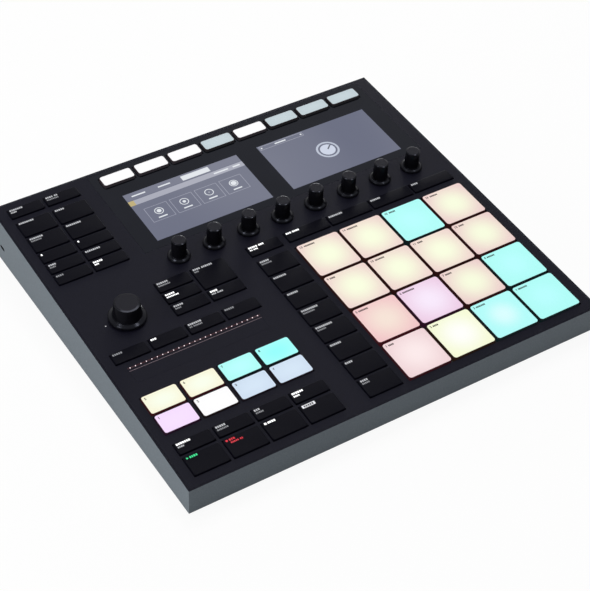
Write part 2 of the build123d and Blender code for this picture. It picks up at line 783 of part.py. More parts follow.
# Rear connectors: bodies behind the rear panel, with their noses through its holes
connector_back = rear_inner.offset(-rear_panel_thickness)
nose_length = rear_panel_thickness + jack_nut_proud
switch_front = key_flange_gap + power_button_flange + power_button_travel + press_stop_gap
switch_room_width = power_button_width + 2 * (key_flange + power_switch_gap)
switch_room_height = power_button_height + 2 * (key_flange + power_switch_gap)
with BuildPart() as rear_connectors:
    with BuildSketch(connector_back):
        with Locations(*rear_places(jack_x)):
            Rectangle(jack_body_width, jack_body_height)
    extrude(amount=-jack_body_length)
    with BuildSketch(connector_back):
        with Locations(*rear_places(jack_x)):
            RegularPolygon(jack_nut_radius, jack_nut_sides, major_radius=False)
    extrude(amount=nose_length)
    with BuildSketch(rear_inner.offset(jack_nut_proud)):
        with Locations(*rear_places(jack_x)):
            Circle(jack_radius)
    extrude(amount=-jack_bore_length, mode=Mode.SUBTRACT)
    with BuildSketch(connector_back):
        with Locations(*rear_places(round_socket_x)):
            Rectangle(round_socket_body, round_socket_body)
    extrude(amount=-round_socket_length)
    with BuildSketch(rear_inner):
        with Locations(*rear_places([square_socket_x])):
            Rectangle(square_socket_width, square_socket_height)
    extrude(amount=-square_socket_length)
    with BuildSketch(rear_inner):
        with Locations(*rear_places([square_socket_x])):
            Rectangle(square_socket_open_width, square_socket_open_height)
    extrude(amount=-square_socket_depth, mode=Mode.SUBTRACT)
    with BuildSketch(rear_inner.offset(-tongue_start)):
        with Locations(*rear_places([square_socket_x])):
            Rectangle(tongue_width, tongue_height)
    extrude(amount=tongue_start - square_socket_depth)
    with BuildSketch(rear_inner):
        with Locations(*rear_places([power_inlet_x])):
            Rectangle(power_inlet_side, power_inlet_side)
    extrude(amount=-power_inlet_length)
    with BuildSketch(rear_inner):
        with Locations(*rear_places([power_inlet_x])):
            Circle(power_inlet_bore)
    extrude(amount=-power_inlet_depth, mode=Mode.SUBTRACT)
    with BuildSketch(connector_back):
        with Locations(*rear_places(rear_knob_x)):
            Rectangle(pot_side, pot_side)
    extrude(amount=-pot_length)
    with BuildSketch(connector_back):
        with Locations(*rear_places(rear_knob_x)):
            RegularPolygon(bushing_radius, bore_sides, major_radius=False)
    extrude(amount=rear_panel_thickness)
    with BuildSketch(rear_inner):
        with Locations(*rear_places(rear_knob_x)):
            RegularPolygon(shaft_radius + shaft_clearance, bore_sides, major_radius=False)
    extrude(amount=-rear_panel_thickness - pot_length, mode=Mode.SUBTRACT)
    with BuildSketch(connector_back):
        with Locations(*rear_places([power_button_x])):
            Rectangle(switch_room_width + 2 * power_switch_wall, switch_room_height + 2 * power_switch_wall)
    extrude(amount=-switch_front - power_switch_length)
    with BuildSketch(connector_back):
        with Locations(*rear_places([power_button_x])):
            Rectangle(switch_room_width, switch_room_height)
    extrude(amount=-switch_front, mode=Mode.SUBTRACT)
rear_connectors.part.label = "rear_connectors"
export_step(rear_connectors.part, "parts/rear_connectors.step")

# Rear knobs: plain caps on the shafts of the rear panel's controls
for number, x in enumerate(rear_knob_x, 1):
    with BuildPart() as rear_knob:
        with BuildSketch(rear_inner.offset(rear_knob_lift)):
            with Locations(*rear_places([x])):
                RegularPolygon(rear_knob_radius, knob_sides)
        extrude(amount=wall + rear_knob_projection - rear_knob_lift)
        with BuildSketch(connector_back.offset(shaft_tail - pot_length)):
            with Locations(*rear_places([x])):
                RegularPolygon(shaft_radius, knob_sides)
        extrude(amount=pot_length - shaft_tail + rear_panel_thickness + rear_knob_lift)
    rear_knob.part.label = f"rear_knob_{number}"
    export_step(rear_knob.part, f"parts/rear_knob_{number}.step")

# Power button: rectangular cap held behind the rear panel by its flange
with BuildPart() as power_button:
    with BuildSketch(connector_back.offset(-key_flange_gap)):
        with Locations(*rear_places([power_button_x])):
            Rectangle(power_button_width + 2 * key_flange, power_button_height + 2 * key_flange)
    extrude(amount=-power_button_flange)
    with BuildSketch(connector_back.offset(-key_flange_gap)):
        with Locations(*rear_places([power_button_x])):
            Rectangle(power_button_width, power_button_height)
    extrude(amount=key_flange_gap + rear_panel_thickness + power_button_rise)
power_button.part.label = "power_button"
export_step(power_button.part, "parts/power_button.step")

rear_height = side_point(deck_depth, 0)[1]
print(f"deck {deck_width:.2f} by {deck_depth:.2f} mm, rear height {rear_height:.2f} mm")
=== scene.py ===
import bmesh
import bpy
import json
import math
from mathutils import Matrix, Vector


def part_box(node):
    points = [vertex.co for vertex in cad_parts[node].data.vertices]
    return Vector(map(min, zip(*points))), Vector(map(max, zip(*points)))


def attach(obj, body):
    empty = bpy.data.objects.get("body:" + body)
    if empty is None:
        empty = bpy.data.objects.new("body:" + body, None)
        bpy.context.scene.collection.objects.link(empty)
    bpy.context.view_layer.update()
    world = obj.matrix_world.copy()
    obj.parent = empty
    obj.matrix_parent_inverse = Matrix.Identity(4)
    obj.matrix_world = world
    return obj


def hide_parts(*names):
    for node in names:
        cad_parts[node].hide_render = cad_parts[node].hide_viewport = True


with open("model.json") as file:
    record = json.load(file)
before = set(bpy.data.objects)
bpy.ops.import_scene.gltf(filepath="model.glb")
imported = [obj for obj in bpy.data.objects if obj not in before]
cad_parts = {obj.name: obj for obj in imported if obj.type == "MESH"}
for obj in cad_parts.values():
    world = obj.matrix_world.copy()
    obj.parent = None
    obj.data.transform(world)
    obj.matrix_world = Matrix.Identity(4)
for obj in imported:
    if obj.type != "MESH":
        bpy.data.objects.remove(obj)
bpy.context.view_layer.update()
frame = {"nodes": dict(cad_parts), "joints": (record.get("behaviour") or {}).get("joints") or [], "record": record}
scene = bpy.context.scene
scene.view_settings.view_transform = "Standard"
mm = 0.001
print("frame loaded with", len(frame["nodes"]), "nodes")

# Camera: standing in front of the player's left hand, looking down over the deck
cameraSetup = {
    "place": (-443.5, -716.6, 752.4),  # mm
    "aim": (-26.75, -31.0, 30.0),
    "nearest": 50,
    "lens": 96.3,
    "sensor": 36.0,
    "shift": 0.0337,
}


def aimAt(thing, place, aim):
    thing.location = place
    thing.rotation_euler = (Vector(aim) - thing.location).to_track_quat("-Z", "Y").to_euler()
    scene.collection.objects.link(thing)


camera = bpy.data.objects.new("camera", bpy.data.cameras.new("camera"))
aimAt(camera, Vector(cameraSetup["place"]) * mm, Vector(cameraSetup["aim"]) * mm)
camera.data.lens = cameraSetup["lens"]
camera.data.sensor_width = cameraSetup["sensor"]
camera.data.shift_x = cameraSetup["shift"]
camera.data.clip_start = cameraSetup["nearest"] * mm
scene.camera = camera

# The deck's own directions and its front left corner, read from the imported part
joints = {joint["name"]: joint for joint in frame["joints"]}
mounts = {mount["name"]: mount for mount in frame["record"]["mounts"]}
deckUp = -Vector(joints["pad_1_press"]["axis"])
deckBack = Vector((0, deckUp.z, -deckUp.y))
caseLow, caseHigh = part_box("case_frame")
deckSlope = deckBack.z / deckBack.y
deckCorner = Vector((caseLow.x, caseLow.y, caseHigh.z - (caseHigh.y - caseLow.y) * deckSlope))


def axesMatrix(origin, across, along, out):
    turn = Matrix((across, along, out)).transposed().to_4x4()
    return Matrix.Translation(origin) @ turn


# Three working faces: x to the right, y away from the reader, z out of the face
right, back, up = (Vector(row) for row in Matrix.Identity(3))
deckFace = axesMatrix(deckCorner, right, deckBack, deckUp)
rearLow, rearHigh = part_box("rear_panel")
rearFace = axesMatrix(back * rearHigh.y, -right, up, back)
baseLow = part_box("base_plate")[0]
baseFace = axesMatrix(up * baseLow.z, right, -back, -up)
toDeck = deckFace.inverted()
toRear = rearFace.inverted()


def hexColor(text):
    channels = [int(text[k:k + 2], 16) / 255 for k in (1, 3, 5)]
    return tuple(c / 12.92 if c <= 0.04045 else ((c + 0.055) / 1.055) ** 2.4 for c in channels) + (1.0,)


# An input is a plain value, an output of another node, or a node, which stands for its first output
def addNode(tree, kind, inputs=None, **settings):
    node = tree.nodes.new(kind)
    for name, value in settings.items():
        setattr(node, name, value)
    for socket, value in (inputs or {}).items():
        if isinstance(value, bpy.types.Node):
            value = value.outputs[0]
        if isinstance(value, bpy.types.NodeSocket):
            tree.links.new(value, node.inputs[socket])
        else:
            node.inputs[socket].default_value = value
    return node


# The node tree of a material or of the world, emptied
def clearTree(holder):
    holder.use_nodes = True
    holder.node_tree.nodes.clear()
    return holder.node_tree


finishes = {}


# A new finish begins with the noise that makes its surface uneven, of a size in mm
def startFinish(name, grain, detail=2.0):
    finishes[name] = bpy.data.materials.new(name)
    tree = clearTree(finishes[name])
    place = addNode(tree, "ShaderNodeTexCoord")
    noise = addNode(tree, "ShaderNodeTexNoise", {
        "Vector": place.outputs["Object"], "Scale": 1 / (grain * mm), "Detail": detail})
    return tree, noise


def endFinish(tree, inputs):
    shader = addNode(tree, "ShaderNodeBsdfPrincipled", inputs)
    addNode(tree, "ShaderNodeOutputMaterial", {"Surface": shader})


# grain: its size and relief in mm, drawn coarser than life under about 1 mm so that it shows;
# gloss: roughness and the strength of the mirror image
grainLooks = {
    # grey case walls with a fine light speckle
    "spark textured ABS": {"tones": ("#545d64", "#5f686f"), "grain": (0.7, 0.015), "gloss": (0.55, 0.2)},
    # deck plate, nearly black with a blue cast and hardly any shine
    "matt painted aluminium": {"tones": ("#0d0d16", "#11111d"), "grain": (0.7, 0.006), "gloss": (0.5, 0.05)},
    # key caps, a little darker and smoother than the deck
    "satin black ABS": {"tones": ("#06060d", "#090912"), "grain": (0.6, 0.005), "gloss": (0.42, 0.025)},
    # display window, coated, so its gloss is weak and bluish, with faint smears
    "black backed glass": {
        "tones": ("#08090d", "#0a0b10"), "grain": (25.0, 0.0005), "gloss": (0.12, 0.17), "tint": "#d4dcff"},
    # sockets and the frame between the pads
    "moulded black nylon": {"tones": ("#0b0b0c", "#121213"), "grain": (0.8, 0.01), "gloss": (0.5, 0.3)},
    # base plate, orange-peel black
    "powder coated steel": {"tones": ("#17171a", "#222226"), "grain": (1.4, 0.05), "gloss": (0.6, 0.4)},
    # feet, dead matt; the same dark finish is painted shade in the rear socket holes and the lock slot
    "moulded rubber": {"tones": ("#0d0d0e", "#161617"), "grain": (1.0, 0.03), "gloss": (0.85, 0.2)},
    # knob sides, polished in the mould
    "glossy black ABS": {
        "tones": ("#0a0a0e", "#0d0d11"), "grain": (2.5, 0.002), "gloss": (0.13, 0.04), "tint": "#e2e7ff"},
    # bevels and skirts of the knobs, buffed, so they catch the lamps
    "polished black ABS": {
        "tones": ("#060609", "#09090c"), "grain": (2.5, 0.001), "gloss": (0.16, 0.15), "tint": "#e2e7ff"},
    # knob tops, matt lacquer that reads as dark grey
    "soft touch black": {"tones": ("#15151b", "#1b1b22"), "grain": (0.5, 0.008), "gloss": (0.5, 0.06)},
    # walls and rounded top edges of the lit caps: dark, a painted shade for the gaps between the caps, with a
    # faint glow of the lamp's light coming through
    "shaded silicone": {
        "tones": ("#16080a", "#1e0c0e"), "grain": (1.0, 0.005), "gloss": (0.6, 0.05), "leak": "wallColor"},
    # jack collars and socket pins, bright and slightly warm
    "nickel plated brass": {
        "tones": ("#b4b1aa", "#c4c1ba"), "grain": (1.0, 0.004), "gloss": (0.25, 0.5), "metallic": 1.0},
    # encoder bodies and screws, duller and bluer
    "zinc plated steel": {
        "tones": ("#8f9296", "#a5a8ab"), "grain": (1.2, 0.01), "gloss": (0.35, 0.5), "metallic": 1.0},
    # main board, green and faintly glossy
    "soldermask fibreglass": {"tones": ("#12402a", "#1a4e33"), "grain": (1.5, 0.01), "gloss": (0.35, 0.5)},
    # key mats and sensor sheet, milky grey
    "translucent silicone": {"tones": ("#7d7d7a", "#8f8f8b"), "grain": (2.0, 0.01), "gloss": (0.6, 0.3)},
    # silk-screened on the lit caps, warm dark grey
    "marking ink": {"tones": ("#282220", "#38302c"), "grain": (0.3, 0.002), "gloss": (0.7, 0.1)},
}

# Grained finishes: two tones, a little unevenness of gloss and a shallow relief
grainSetup = {"stops": (0.36, 0.64), "glossSwing": 0.05, "reliefStrength": 0.5}
for name, look in grainLooks.items():
    size, height = look["grain"]
    roughness, specular = look["gloss"]
    tree, noise = startFinish(name, size)
    tones = addNode(tree, "ShaderNodeValToRGB", {"Fac": noise})
    for stop, position, text in zip(tones.color_ramp.elements, grainSetup["stops"], look["tones"]):
        stop.position = position
        stop.color = hexColor(text)
    gloss = addNode(tree, "ShaderNodeMapRange", {
        "Value": noise, "To Min": roughness - grainSetup["glossSwing"],
        "To Max": roughness + grainSetup["glossSwing"]})
    relief = addNode(tree, "ShaderNodeBump", {
        "Height": noise, "Strength": grainSetup["reliefStrength"], "Distance": height * mm})
    inputs = {
        "Base Color": tones, "Roughness": gloss,
        "Normal": relief, "Metallic": look.get("metallic", 0.0),
        "Specular IOR Level": specular, "Specular Tint": hexColor(look.get("tint", "#ffffff"))}
    if "leak" in look:
        leak = addNode(tree, "ShaderNodeAttribute", attribute_name=look["leak"])
        inputs.update({"Emission Color": leak, "Emission Strength": 1.0})
    endFinish(tree, inputs)

# Lit silicone: a lamp behind the middle of each cap, so the colour pales from the rim to the core
litLook = {"coreEdge": 0.04, "grain": 0.5, "relief": 0.01, "reliefStrength": 0.3, "strength": 0.77,
           "roughness": 0.6, "specular": 0.1, "off": "#8a8a88"}  # off: milky where no lamp shines
tree, noise = startFinish("lit silicone", litLook["grain"])
face = addNode(tree, "ShaderNodeUVMap", uv_map="capFace")
offset = addNode(tree, "ShaderNodeVectorMath", {0: face, 1: (0.5, 0.5, 0.0)}, operation="SUBTRACT")
reach = addNode(tree, "ShaderNodeVectorMath", {0: offset}, operation="LENGTH")
core = addNode(tree, "ShaderNodeAttribute", attribute_name="coreColor")  # its alpha is the spread
fall = addNode(tree, "ShaderNodeMapRange", {
    "Value": reach.outputs["Value"], "From Min": litLook["coreEdge"], "From Max": core.outputs["Alpha"]},
    interpolation_type="SMOOTHSTEP")
rim = addNode(tree, "ShaderNodeAttribute", attribute_name="rimColor")
glow = addNode(tree, "ShaderNodeMix", {0: fall, 6: core, 7: rim}, data_type="RGBA")
relief = addNode(tree, "ShaderNodeBump", {
    "Height": noise, "Strength": litLook["reliefStrength"], "Distance": litLook["relief"] * mm})
endFinish(tree, {
    "Base Color": hexColor(litLook["off"]), "Emission Color": glow.outputs[2],
    "Emission Strength": litLook["strength"], "Normal": relief,
    "Roughness": litLook["roughness"], "Specular IOR Level": litLook["specular"]})

# Back-lit print: every mark carries its own colour; the light behind it is a little uneven. The same glow is
# painted light where no lamp is: the highlight on the touch strip and the rear labels
printLooks = {
    "back-lit print": {  # legends, ink on a clear cap over a lamp
        "strength": 0.6, "patch": 4, "paler": 0.03, "roughness": 0.6, "specular": 0.1},
    "display picture": {  # bonded to the glass: black when off, with the gloss of the glass
        "strength": 1.0, "patch": 70, "paler": 0.045, "roughness": 0.12, "specular": 0.17, "off": "#08090d"},
}
patchRange = (0.35, 0.75)  # from where the noise shows to where it is strongest
for name, look in printLooks.items():
    tree, noise = startFinish(name, look["patch"], 0.0)
    ink = addNode(tree, "ShaderNodeAttribute", attribute_name="markColor")
    uneven = addNode(tree, "ShaderNodeMapRange", {
        "Value": noise, "From Min": patchRange[0], "From Max": patchRange[1], "To Max": look["paler"]})
    glow = addNode(tree, "ShaderNodeMix", {0: uneven, 6: ink, 7: (1, 1, 1, 1)}, data_type="RGBA")
    endFinish(tree, {
        "Base Color": hexColor(look["off"]) if "off" in look else ink, "Emission Color": glow.outputs[2],
        "Emission Strength": look["strength"], "Roughness": look["roughness"],
        "Specular IOR Level": look["specular"]})

# Lit lamp lens: clear epoxy over a pinkish white lamp
lensLook = {"tones": ("#d6b0bb", "#f2ecf0"), "patch": 3, "strength": 0.75, "roughness": 0.3}
tree, noise = startFinish("lit lamp lens", lensLook["patch"])
tones = addNode(tree, "ShaderNodeValToRGB", {"Fac": noise})
for stop, text in zip(tones.color_ramp.elements, lensLook["tones"]):
    stop.color = hexColor(text)
endFinish(tree, {
    "Base Color": tones, "Emission Color": tones,
    "Emission Strength": lensLook["strength"], "Roughness": lensLook["roughness"]})
print("finishes made:", len(finishes))


def finishPiece(name, mesh, finishNames, body, replaced=()):
    piece = bpy.data.objects.new(name, mesh)
    scene.collection.objects.link(piece)
    if not mesh.materials:
        for finishName in finishNames:
            mesh.materials.append(finishes[finishName])
    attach(piece, body)
    if replaced:
        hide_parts(*replaced)


def plainMesh(name, work):
    mesh = bpy.data.meshes.new(name)
    work.to_mesh(mesh)
    work.free()
    return mesh


def smoothMesh(name, work, face, sharpAngle=38):
    mesh = plainMesh(name, work)
    mesh.transform(face)
    mesh.shade_smooth()
    mesh.set_sharp_from_angle(angle=math.radians(sharpAngle))
    return mesh


# What a helper object's modifiers or letters come to, as a mesh; the helper is then removed
def evaluatedMesh(holder):
    scene.collection.objects.link(holder)
    mesh = bpy.data.meshes.new_from_object(holder.evaluated_get(bpy.context.evaluated_depsgraph_get()))
    bpy.data.objects.remove(holder)
    return mesh


# A copy of a node's mesh with its loose triangles joined
def mergedCopy(node):
    work = bmesh.new()
    work.from_mesh(frame["nodes"][node].data)
    bmesh.ops.remove_doubles(work, verts=work.verts, dist=0.001 * mm)
    return work


# Each solid of a node as its low and high corner on the deck, in mm, front to back and left to right
def solidBoxes(node):
    work = mergedCopy(node)
    work.transform(toDeck)
    boxes, seen = [], set()
    for start in work.verts:
        if start in seen:
            continue
        seen.add(start)
        reached = [start]
        for vert in reached:
            for edge in vert.link_edges:
                other = edge.other_vert(vert)
                if other not in seen:
                    seen.add(other)
                    reached.append(other)
        boxes.append([[pick(vert.co[k] for vert in reached) / mm for k in range(3)] for pick in (min, max)])
    work.free()
    return sorted(boxes, key=lambda box: (round(box[0][1]), box[0][0]))


def roundedLoop(width, depth, radius, steps):
    points = []
    for quarter, (sx, sy) in enumerate(((1, 1), (-1, 1), (-1, -1), (1, -1))):
        for k in range(steps + 1):
            angle = math.radians(90 * (quarter + k / steps))
            x = sx * (width / 2 - radius) + radius * math.cos(angle)
            y = sy * (depth / 2 - radius) + radius * math.sin(angle)
            points.append((x, y))
    return points


# A quarter round as pairs of inset and drop, from the wall up to the top
def quarterRound(size, steps):
    angles = [math.radians(90 * k / steps) for k in range(steps + 1)]
    return [(size * (1 - math.cos(angle)), size * (1 - math.sin(angle))) for angle in angles]


def bandFaces(work, lower, upper):
    faces = []
    for k in range(len(lower)):
        n = (k + 1) % len(lower)
        faces.append(work.faces.new((lower[k], lower[n], upper[n], upper[k])))
    return faces


# Case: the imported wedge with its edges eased, and the deck's finish on its rim
caseLook = {"edge": 0.4, "edgeSteps": 2, "easedAngle": 40, "flatAngle": 1, "sharpAngle": 30,  # mm and degrees
            "rimDepth": 0.5, "rimFacing": 0.98}
work = mergedCopy("case_frame")
bmesh.ops.dissolve_limit(
    work, angle_limit=math.radians(caseLook["flatAngle"]), verts=work.verts, edges=work.edges)
for face in work.faces:
    facesUp = face.normal.dot(deckUp) > caseLook["rimFacing"]
    onDeck = (toDeck @ face.calc_center_median()).z > -caseLook["rimDepth"] * mm
    face.material_index = int(facesUp and onDeck)
caseMesh = smoothMesh("case_shell", work, Matrix.Identity(4), caseLook["sharpAngle"])
caseShell = bpy.data.objects.new("case_shell_work", caseMesh)
ease = caseShell.modifiers.new("ease", "BEVEL")
ease.width = caseLook["edge"] * mm
ease.segments = caseLook["edgeSteps"]
ease.limit_method = "ANGLE"
ease.angle_limit = math.radians(caseLook["easedAngle"])
finishPiece("case_shell", evaluatedMesh(caseShell), ["spark textured ABS", "matt painted aluminium"], "case",
            ["case_frame"])
print("case shell made")

# CAD pieces that keep their shape and get a finish
keptNodes = {
    "matt painted aluminium": ("top_panel", "rear_panel", "touch_strip"),
    "black backed glass": ("display_window",),
    "powder coated steel": ("base_plate",),
    "moulded black nylon": ("display_modules", "pad_frame", "rear_connectors"),
    "soldermask fibreglass": ("main_board",),
    "translucent silicone": ("pad_sensor_sheet", "key_mats"),
    "zinc plated steel": ("encoder_bodies", "gimbal_ring", "gimbal_cradle", "encoder_plunger"),
}
for finishName, nodes in keptNodes.items():
    for node in nodes:
        mesh = frame["nodes"][node].data
        mesh.materials.clear()
        mesh.materials.append(finishes[finishName])

# Lamp colours behind the caps: at the middle, at the rim, and a dim glow leaking through the walls, kept dark as
# painted shade between the caps
litFinish = ["lit silicone", "shaded silicone"]
lampColors = {
    "pink": ("#f8e0e2", "#e6bfc5", "#2c0e14"),
    "salmon": ("#f0d6c6", "#e9a8ae", "#340e14"),
    "cream": ("#f4fbd4", "#e6c0ba", "#220e0c"),
    "rose cream": ("#f2f8d2", "#e2b6b6", "#240e0e"),
    "yellow": ("#fcfcf8", "#f0f6c8", "#1e140c"),
    "lilac": ("#f3dff9", "#e4b6da", "#240e1e"),
    "pale lilac": ("#f1d2fd", "#efccfc", "#1c0c1e"),
    "pale aqua": ("#c8fbfd", "#8ef8f6", "#081a1c"),
    "aqua": ("#96fcfd", "#88f9f3", "#06181a"),
    "turquoise": ("#4cfcf8", "#78fcf6", "#06181a"),
    "peach": ("#f4fbe4", "#f3eec8", "#300e10"),
    "white": ("#fbfafc", "#f8f8fa", "#0e0c0e"),
    "ice": ("#c2daf2", "#b8d0ea", "#0c0e14"),
    "bright white": ("#fbfafc", "#f6f6f9", "#222226"),
    "standby": ("#a8bdc7", "#9eb4be", "#14181a"),
}
lampSpread = {"usual": 0.72, "yellow": 0.62, "aqua": 0.52, "pale aqua": 0.46}  # share of the cap's width
lampLayers = ("coreColor", "rimColor", "wallColor")

# Caps: what most of them share, in mm; a band at the edge of a lit top takes the dark wall finish, a painted shade
# at the edge
capLook = {"flange": 0.55, "flangeThickness": 0.7, "cornerSteps": 5, "fillet": 0.4, "filletSteps": 3}
smallestCorner = 0.05


# A cap with rounded corners and a rounded top edge, on the flange that holds it under the plate
def addCap(work, box, look, lamp=None):
    low, high = box
    flange = look["flange"]
    layers = work.verts.layers.float_color
    if lamp and not layers:  # layers come first, as a new one drops the hold on the points
        work.loops.layers.uv.new("capFace")
        for layerName in lampLayers:
            layers.new(layerName)
    centre = ((low[0] + high[0]) / 2, (low[1] + high[1]) / 2)
    width = high[0] - low[0] - 2 * flange
    depth = high[1] - low[1] - 2 * flange
    shoulder = low[2] + look["flangeThickness"]
    levels = [(-flange, low[2]), (-flange, shoulder), (0.0, shoulder)]
    levels += [(inset, high[2] - drop) for inset, drop in quarterRound(look["fillet"], look["filletSteps"])]
    if lamp:
        levels.append((look["fillet"] + look["shadeEdge"], high[2]))
    rings = []
    for inset, height in levels:
        radius = max(look["corner"] - inset, smallestCorner)
        loop = roundedLoop(width - 2 * inset, depth - 2 * inset, radius, look["cornerSteps"])
        rings.append([
            work.verts.new(((centre[0] + x) * mm, (centre[1] + y) * mm, height * mm)) for x, y in loop])
    top = work.faces.new(rings[-1])
    walls = [work.faces.new(rings[0][::-1])]
    for lower, upper in zip(rings, rings[1:]):
        walls += bandFaces(work, lower, upper)
    if not lamp:
        return
    # the walls, the rounded edge and the edge band take the dark wall finish: painted shade
    for wall in walls:
        wall.material_index = 1
    faceUv = work.loops.layers.uv["capFace"]
    for corner in top.loops:
        spot = corner.vert.co / mm
        corner[faceUv].uv = ((spot.x - centre[0]) / width + 0.5, (spot.y - centre[1]) / depth + 0.5)
    spread = lampSpread.get(lamp, lampSpread["usual"])
    for layerName, tone in zip(lampLayers, lampColors[lamp]):
        for ring in rings:
            for vert in ring:
                vert[layers[layerName]] = hexColor(tone)[:3] + (spread,)


def capPiece(name, node, boxes, look, finishNames, lamps=None, face=deckFace, body=None):
    work = bmesh.new()
    for box, lamp in zip(boxes, lamps or [None] * len(boxes)):
        addCap(work, box, look, lamp)
    finishPiece(name, smoothMesh(name, work, face), finishNames, body or node, [node])


def litCaps(stem, lamps, look):
    boxes = []
    for number, lamp in enumerate(lamps, 1):
        node = f"{stem}_{number}"
        boxes.append(solidBoxes(node)[0])
        capPiece(f"lit_{node}", node, boxes[-1:], look, litFinish, [lamp])
    return boxes


# Pads and group buttons, front row first
padLook = {**capLook, "flange": 0.6, "flangeThickness": 1.3, "corner": 2.4, "shadeEdge": 0.05}
padLamps = ["pink", "yellow", "pale aqua", "aqua", "salmon", "lilac", "rose cream", "aqua",
            "cream", "cream", "cream", "rose cream", "cream", "cream", "aqua", "rose cream"]
padBoxes = litCaps("pad", padLamps, padLook)
groupLook = {**capLook, "corner": 1.9, "fillet": 0.35, "shadeEdge": 0.1}
groupLamps = ["pale lilac", "white", "ice", "ice", "peach", "peach", "aqua", "turquoise"]
groupBoxes = litCaps("group_button", groupLamps, groupLook)

# Display buttons, left to right
buttonLook = {**capLook, "corner": 2.4, "shadeEdge": 0.3}
buttonLamps = ["bright white"] * 3 + ["standby", "bright white"] + ["standby"] * 3
capPiece("lit_display_buttons", "display_buttons", solidBoxes("display_buttons"), buttonLook, litFinish,
         buttonLamps)

# Black keys
keyLook = {**capLook, "corner": 1.7, "fillet": 0.5, "filletSteps": 4}
keyBoxes = {}
for node in ("browse_keys", "perform_keys", "transport_keys", "pattern_keys"):
    keyBoxes[node] = solidBoxes(node)
    capPiece(f"{node}_caps", node, keyBoxes[node], keyLook, ["satin black ABS"])
print("pads, buttons and keys made")

# Knobs: profiles of (radius, height, finish of the band above) in mm, turned about the knob's own axis
knobFinishes = ["glossy black ABS", "soft touch black", "polished black ABS"]
knobLook = {"shaft": 3.0, "foot": -8.0, "lift": 0.5, "skirt": 8.25, "skirtTop": 1.75, "skirtRim": 0.8,
            "flange": 6.3, "flangeTop": 2.3, "neck": 5.5, "cap": 5.2, "top": 15.7, "chamfer": (0.7, 0.38)}
mainKnobLook = {"shaft": 3.0, "foot": -6.8, "lift": 1.5, "skirt": 13.3, "skirtTop": 2.56, "skirtRim": 0.6,
                "flange": 10.5, "flangeTop": 3.6, "neck": 9.9, "cap": 9.1, "top": 14.5,
                "chamfer": (1.3, 0.24)}
turnedLook = {"segments": 64, "sharpAngle": 32, "edgeSteps": 4, "fluteFrom": 5.3}  # narrower rings stay round
knobEdges = {"closeRing": 0.08, "skirtUnder": 0.3, "neckFoot": (0.25, 0.05), "neckRise": 0.4,
             "capFlare": 0.02, "capDrop": 0.2, "capInset": 0.1}


def turnedMesh(name, face, profile, segments=turnedLook["segments"], flute=0.0):
    work = bmesh.new()
    rings = []
    for radius, height, band in profile:
        ring = []
        for k in range(segments):
            angle = 2 * math.pi * k / segments
            reach = (radius - flute * (k % 4 > 1) * (radius > turnedLook["fluteFrom"])) * mm
            ring.append(work.verts.new((reach * math.cos(angle), reach * math.sin(angle), height * mm)))
        rings.append(ring)
    for (radius, height, band), lower, upper in zip(profile, rings, rings[1:]):
        for wall in bandFaces(work, lower, upper):
            wall.material_index = band
    work.faces.new(rings[0][::-1])
    work.faces.new(rings[-1]).material_index = profile[-1][2]
    return smoothMesh(name, work, face, turnedLook["sharpAngle"])


def edgeArc(radius, height, size):
    return [(radius - inset, height - drop, 0) for inset, drop in quarterRound(size, turnedLook["edgeSteps"])]


# A flat chamfer: close rings at both ends keep it flat under smooth shading
def chamferBand(radius, height, size, finishAbove):
    width, drop = size
    close = knobEdges["closeRing"]
    rings = [(radius - width * share, height - drop * (1 - share), 2) for share in (0.0, close, 1 - close)]
    return rings + [(radius - width, height, finishAbove), (radius - width - close, height, finishAbove)]


def knobProfile(look):
    skirt, flangeTop, neck, lift, top = (look[part] for part in ("skirt", "flangeTop", "neck", "lift", "top"))
    under = knobEdges["skirtUnder"]
    profile = [(look["shaft"], look["foot"], 0), (look["shaft"], lift, 0), (skirt - under, lift, 0)]
    profile += [(skirt, lift + under, 0)] + edgeArc(skirt, look["skirtTop"], look["skirtRim"])[:-1]
    cone = skirt - look["skirtRim"]
    profile += chamferBand(cone, flangeTop, (cone - look["flange"], flangeTop - look["skirtTop"]), 0)
    footOut, footRise = knobEdges["neckFoot"]
    profile += [(neck + footOut, flangeTop + footRise, 0), (neck, flangeTop + knobEdges["neckRise"], 0)]
    capEnd = top - look["chamfer"][1] - knobEdges["capDrop"]
    profile += [(look["cap"] + knobEdges["capFlare"], capEnd, 0)]
    return profile + chamferBand(look["cap"] - knobEdges["capInset"], top, look["chamfer"], 1)


def knobFace(joint):
    origin = Vector(joint["pos_m"])
    lift = (toDeck @ origin).z  # the joint's point may lie under the deck
    return axesMatrix(origin - deckUp * lift, right, deckBack, deckUp)


knobs = {f"knob_{number}": knobLook for number in range(1, 9)}
knobs["main_knob"] = mainKnobLook
for node, look in knobs.items():
    mesh = turnedMesh(node, knobFace(joints[f"{node}_turn"]), knobProfile(look))
    finishPiece(f"turned_{node}", mesh, knobFinishes, node, [node])
print("knobs made")


# Node trees for repeats: named inputs at the start, plain geometry with its finish at the end
def startTree(name, inputs):
    tree = bpy.data.node_groups.new(name, "GeometryNodeTree")
    for socket, kind in inputs.items():
        tree.interface.new_socket(socket, in_out="INPUT", socket_type=f"NodeSocket{kind}")
    tree.interface.new_socket("Made", in_out="OUTPUT", socket_type="NodeSocketGeometry")
    return tree, addNode(tree, "NodeGroupInput")


def endTree(tree, given, placed):
    real = addNode(tree, "GeometryNodeRealizeInstances", {"Geometry": placed})
    painted = addNode(tree, "GeometryNodeSetMaterial", {
        "Geometry": real, "Material": given.outputs["Finish"]})
    addNode(tree, "NodeGroupOutput", {"Made": painted})
    return tree


def treeMesh(name, start, tree, values):
    holder = bpy.data.objects.new(f"{name}_work", start)
    modifier = holder.modifiers.new("nodes", "NODES")
    modifier.node_group = tree
    for item in tree.interface.items_tree:
        if item.in_out == "INPUT" and item.name in values:
            modifier[item.identifier] = values[item.name]
    return evaluatedMesh(holder)


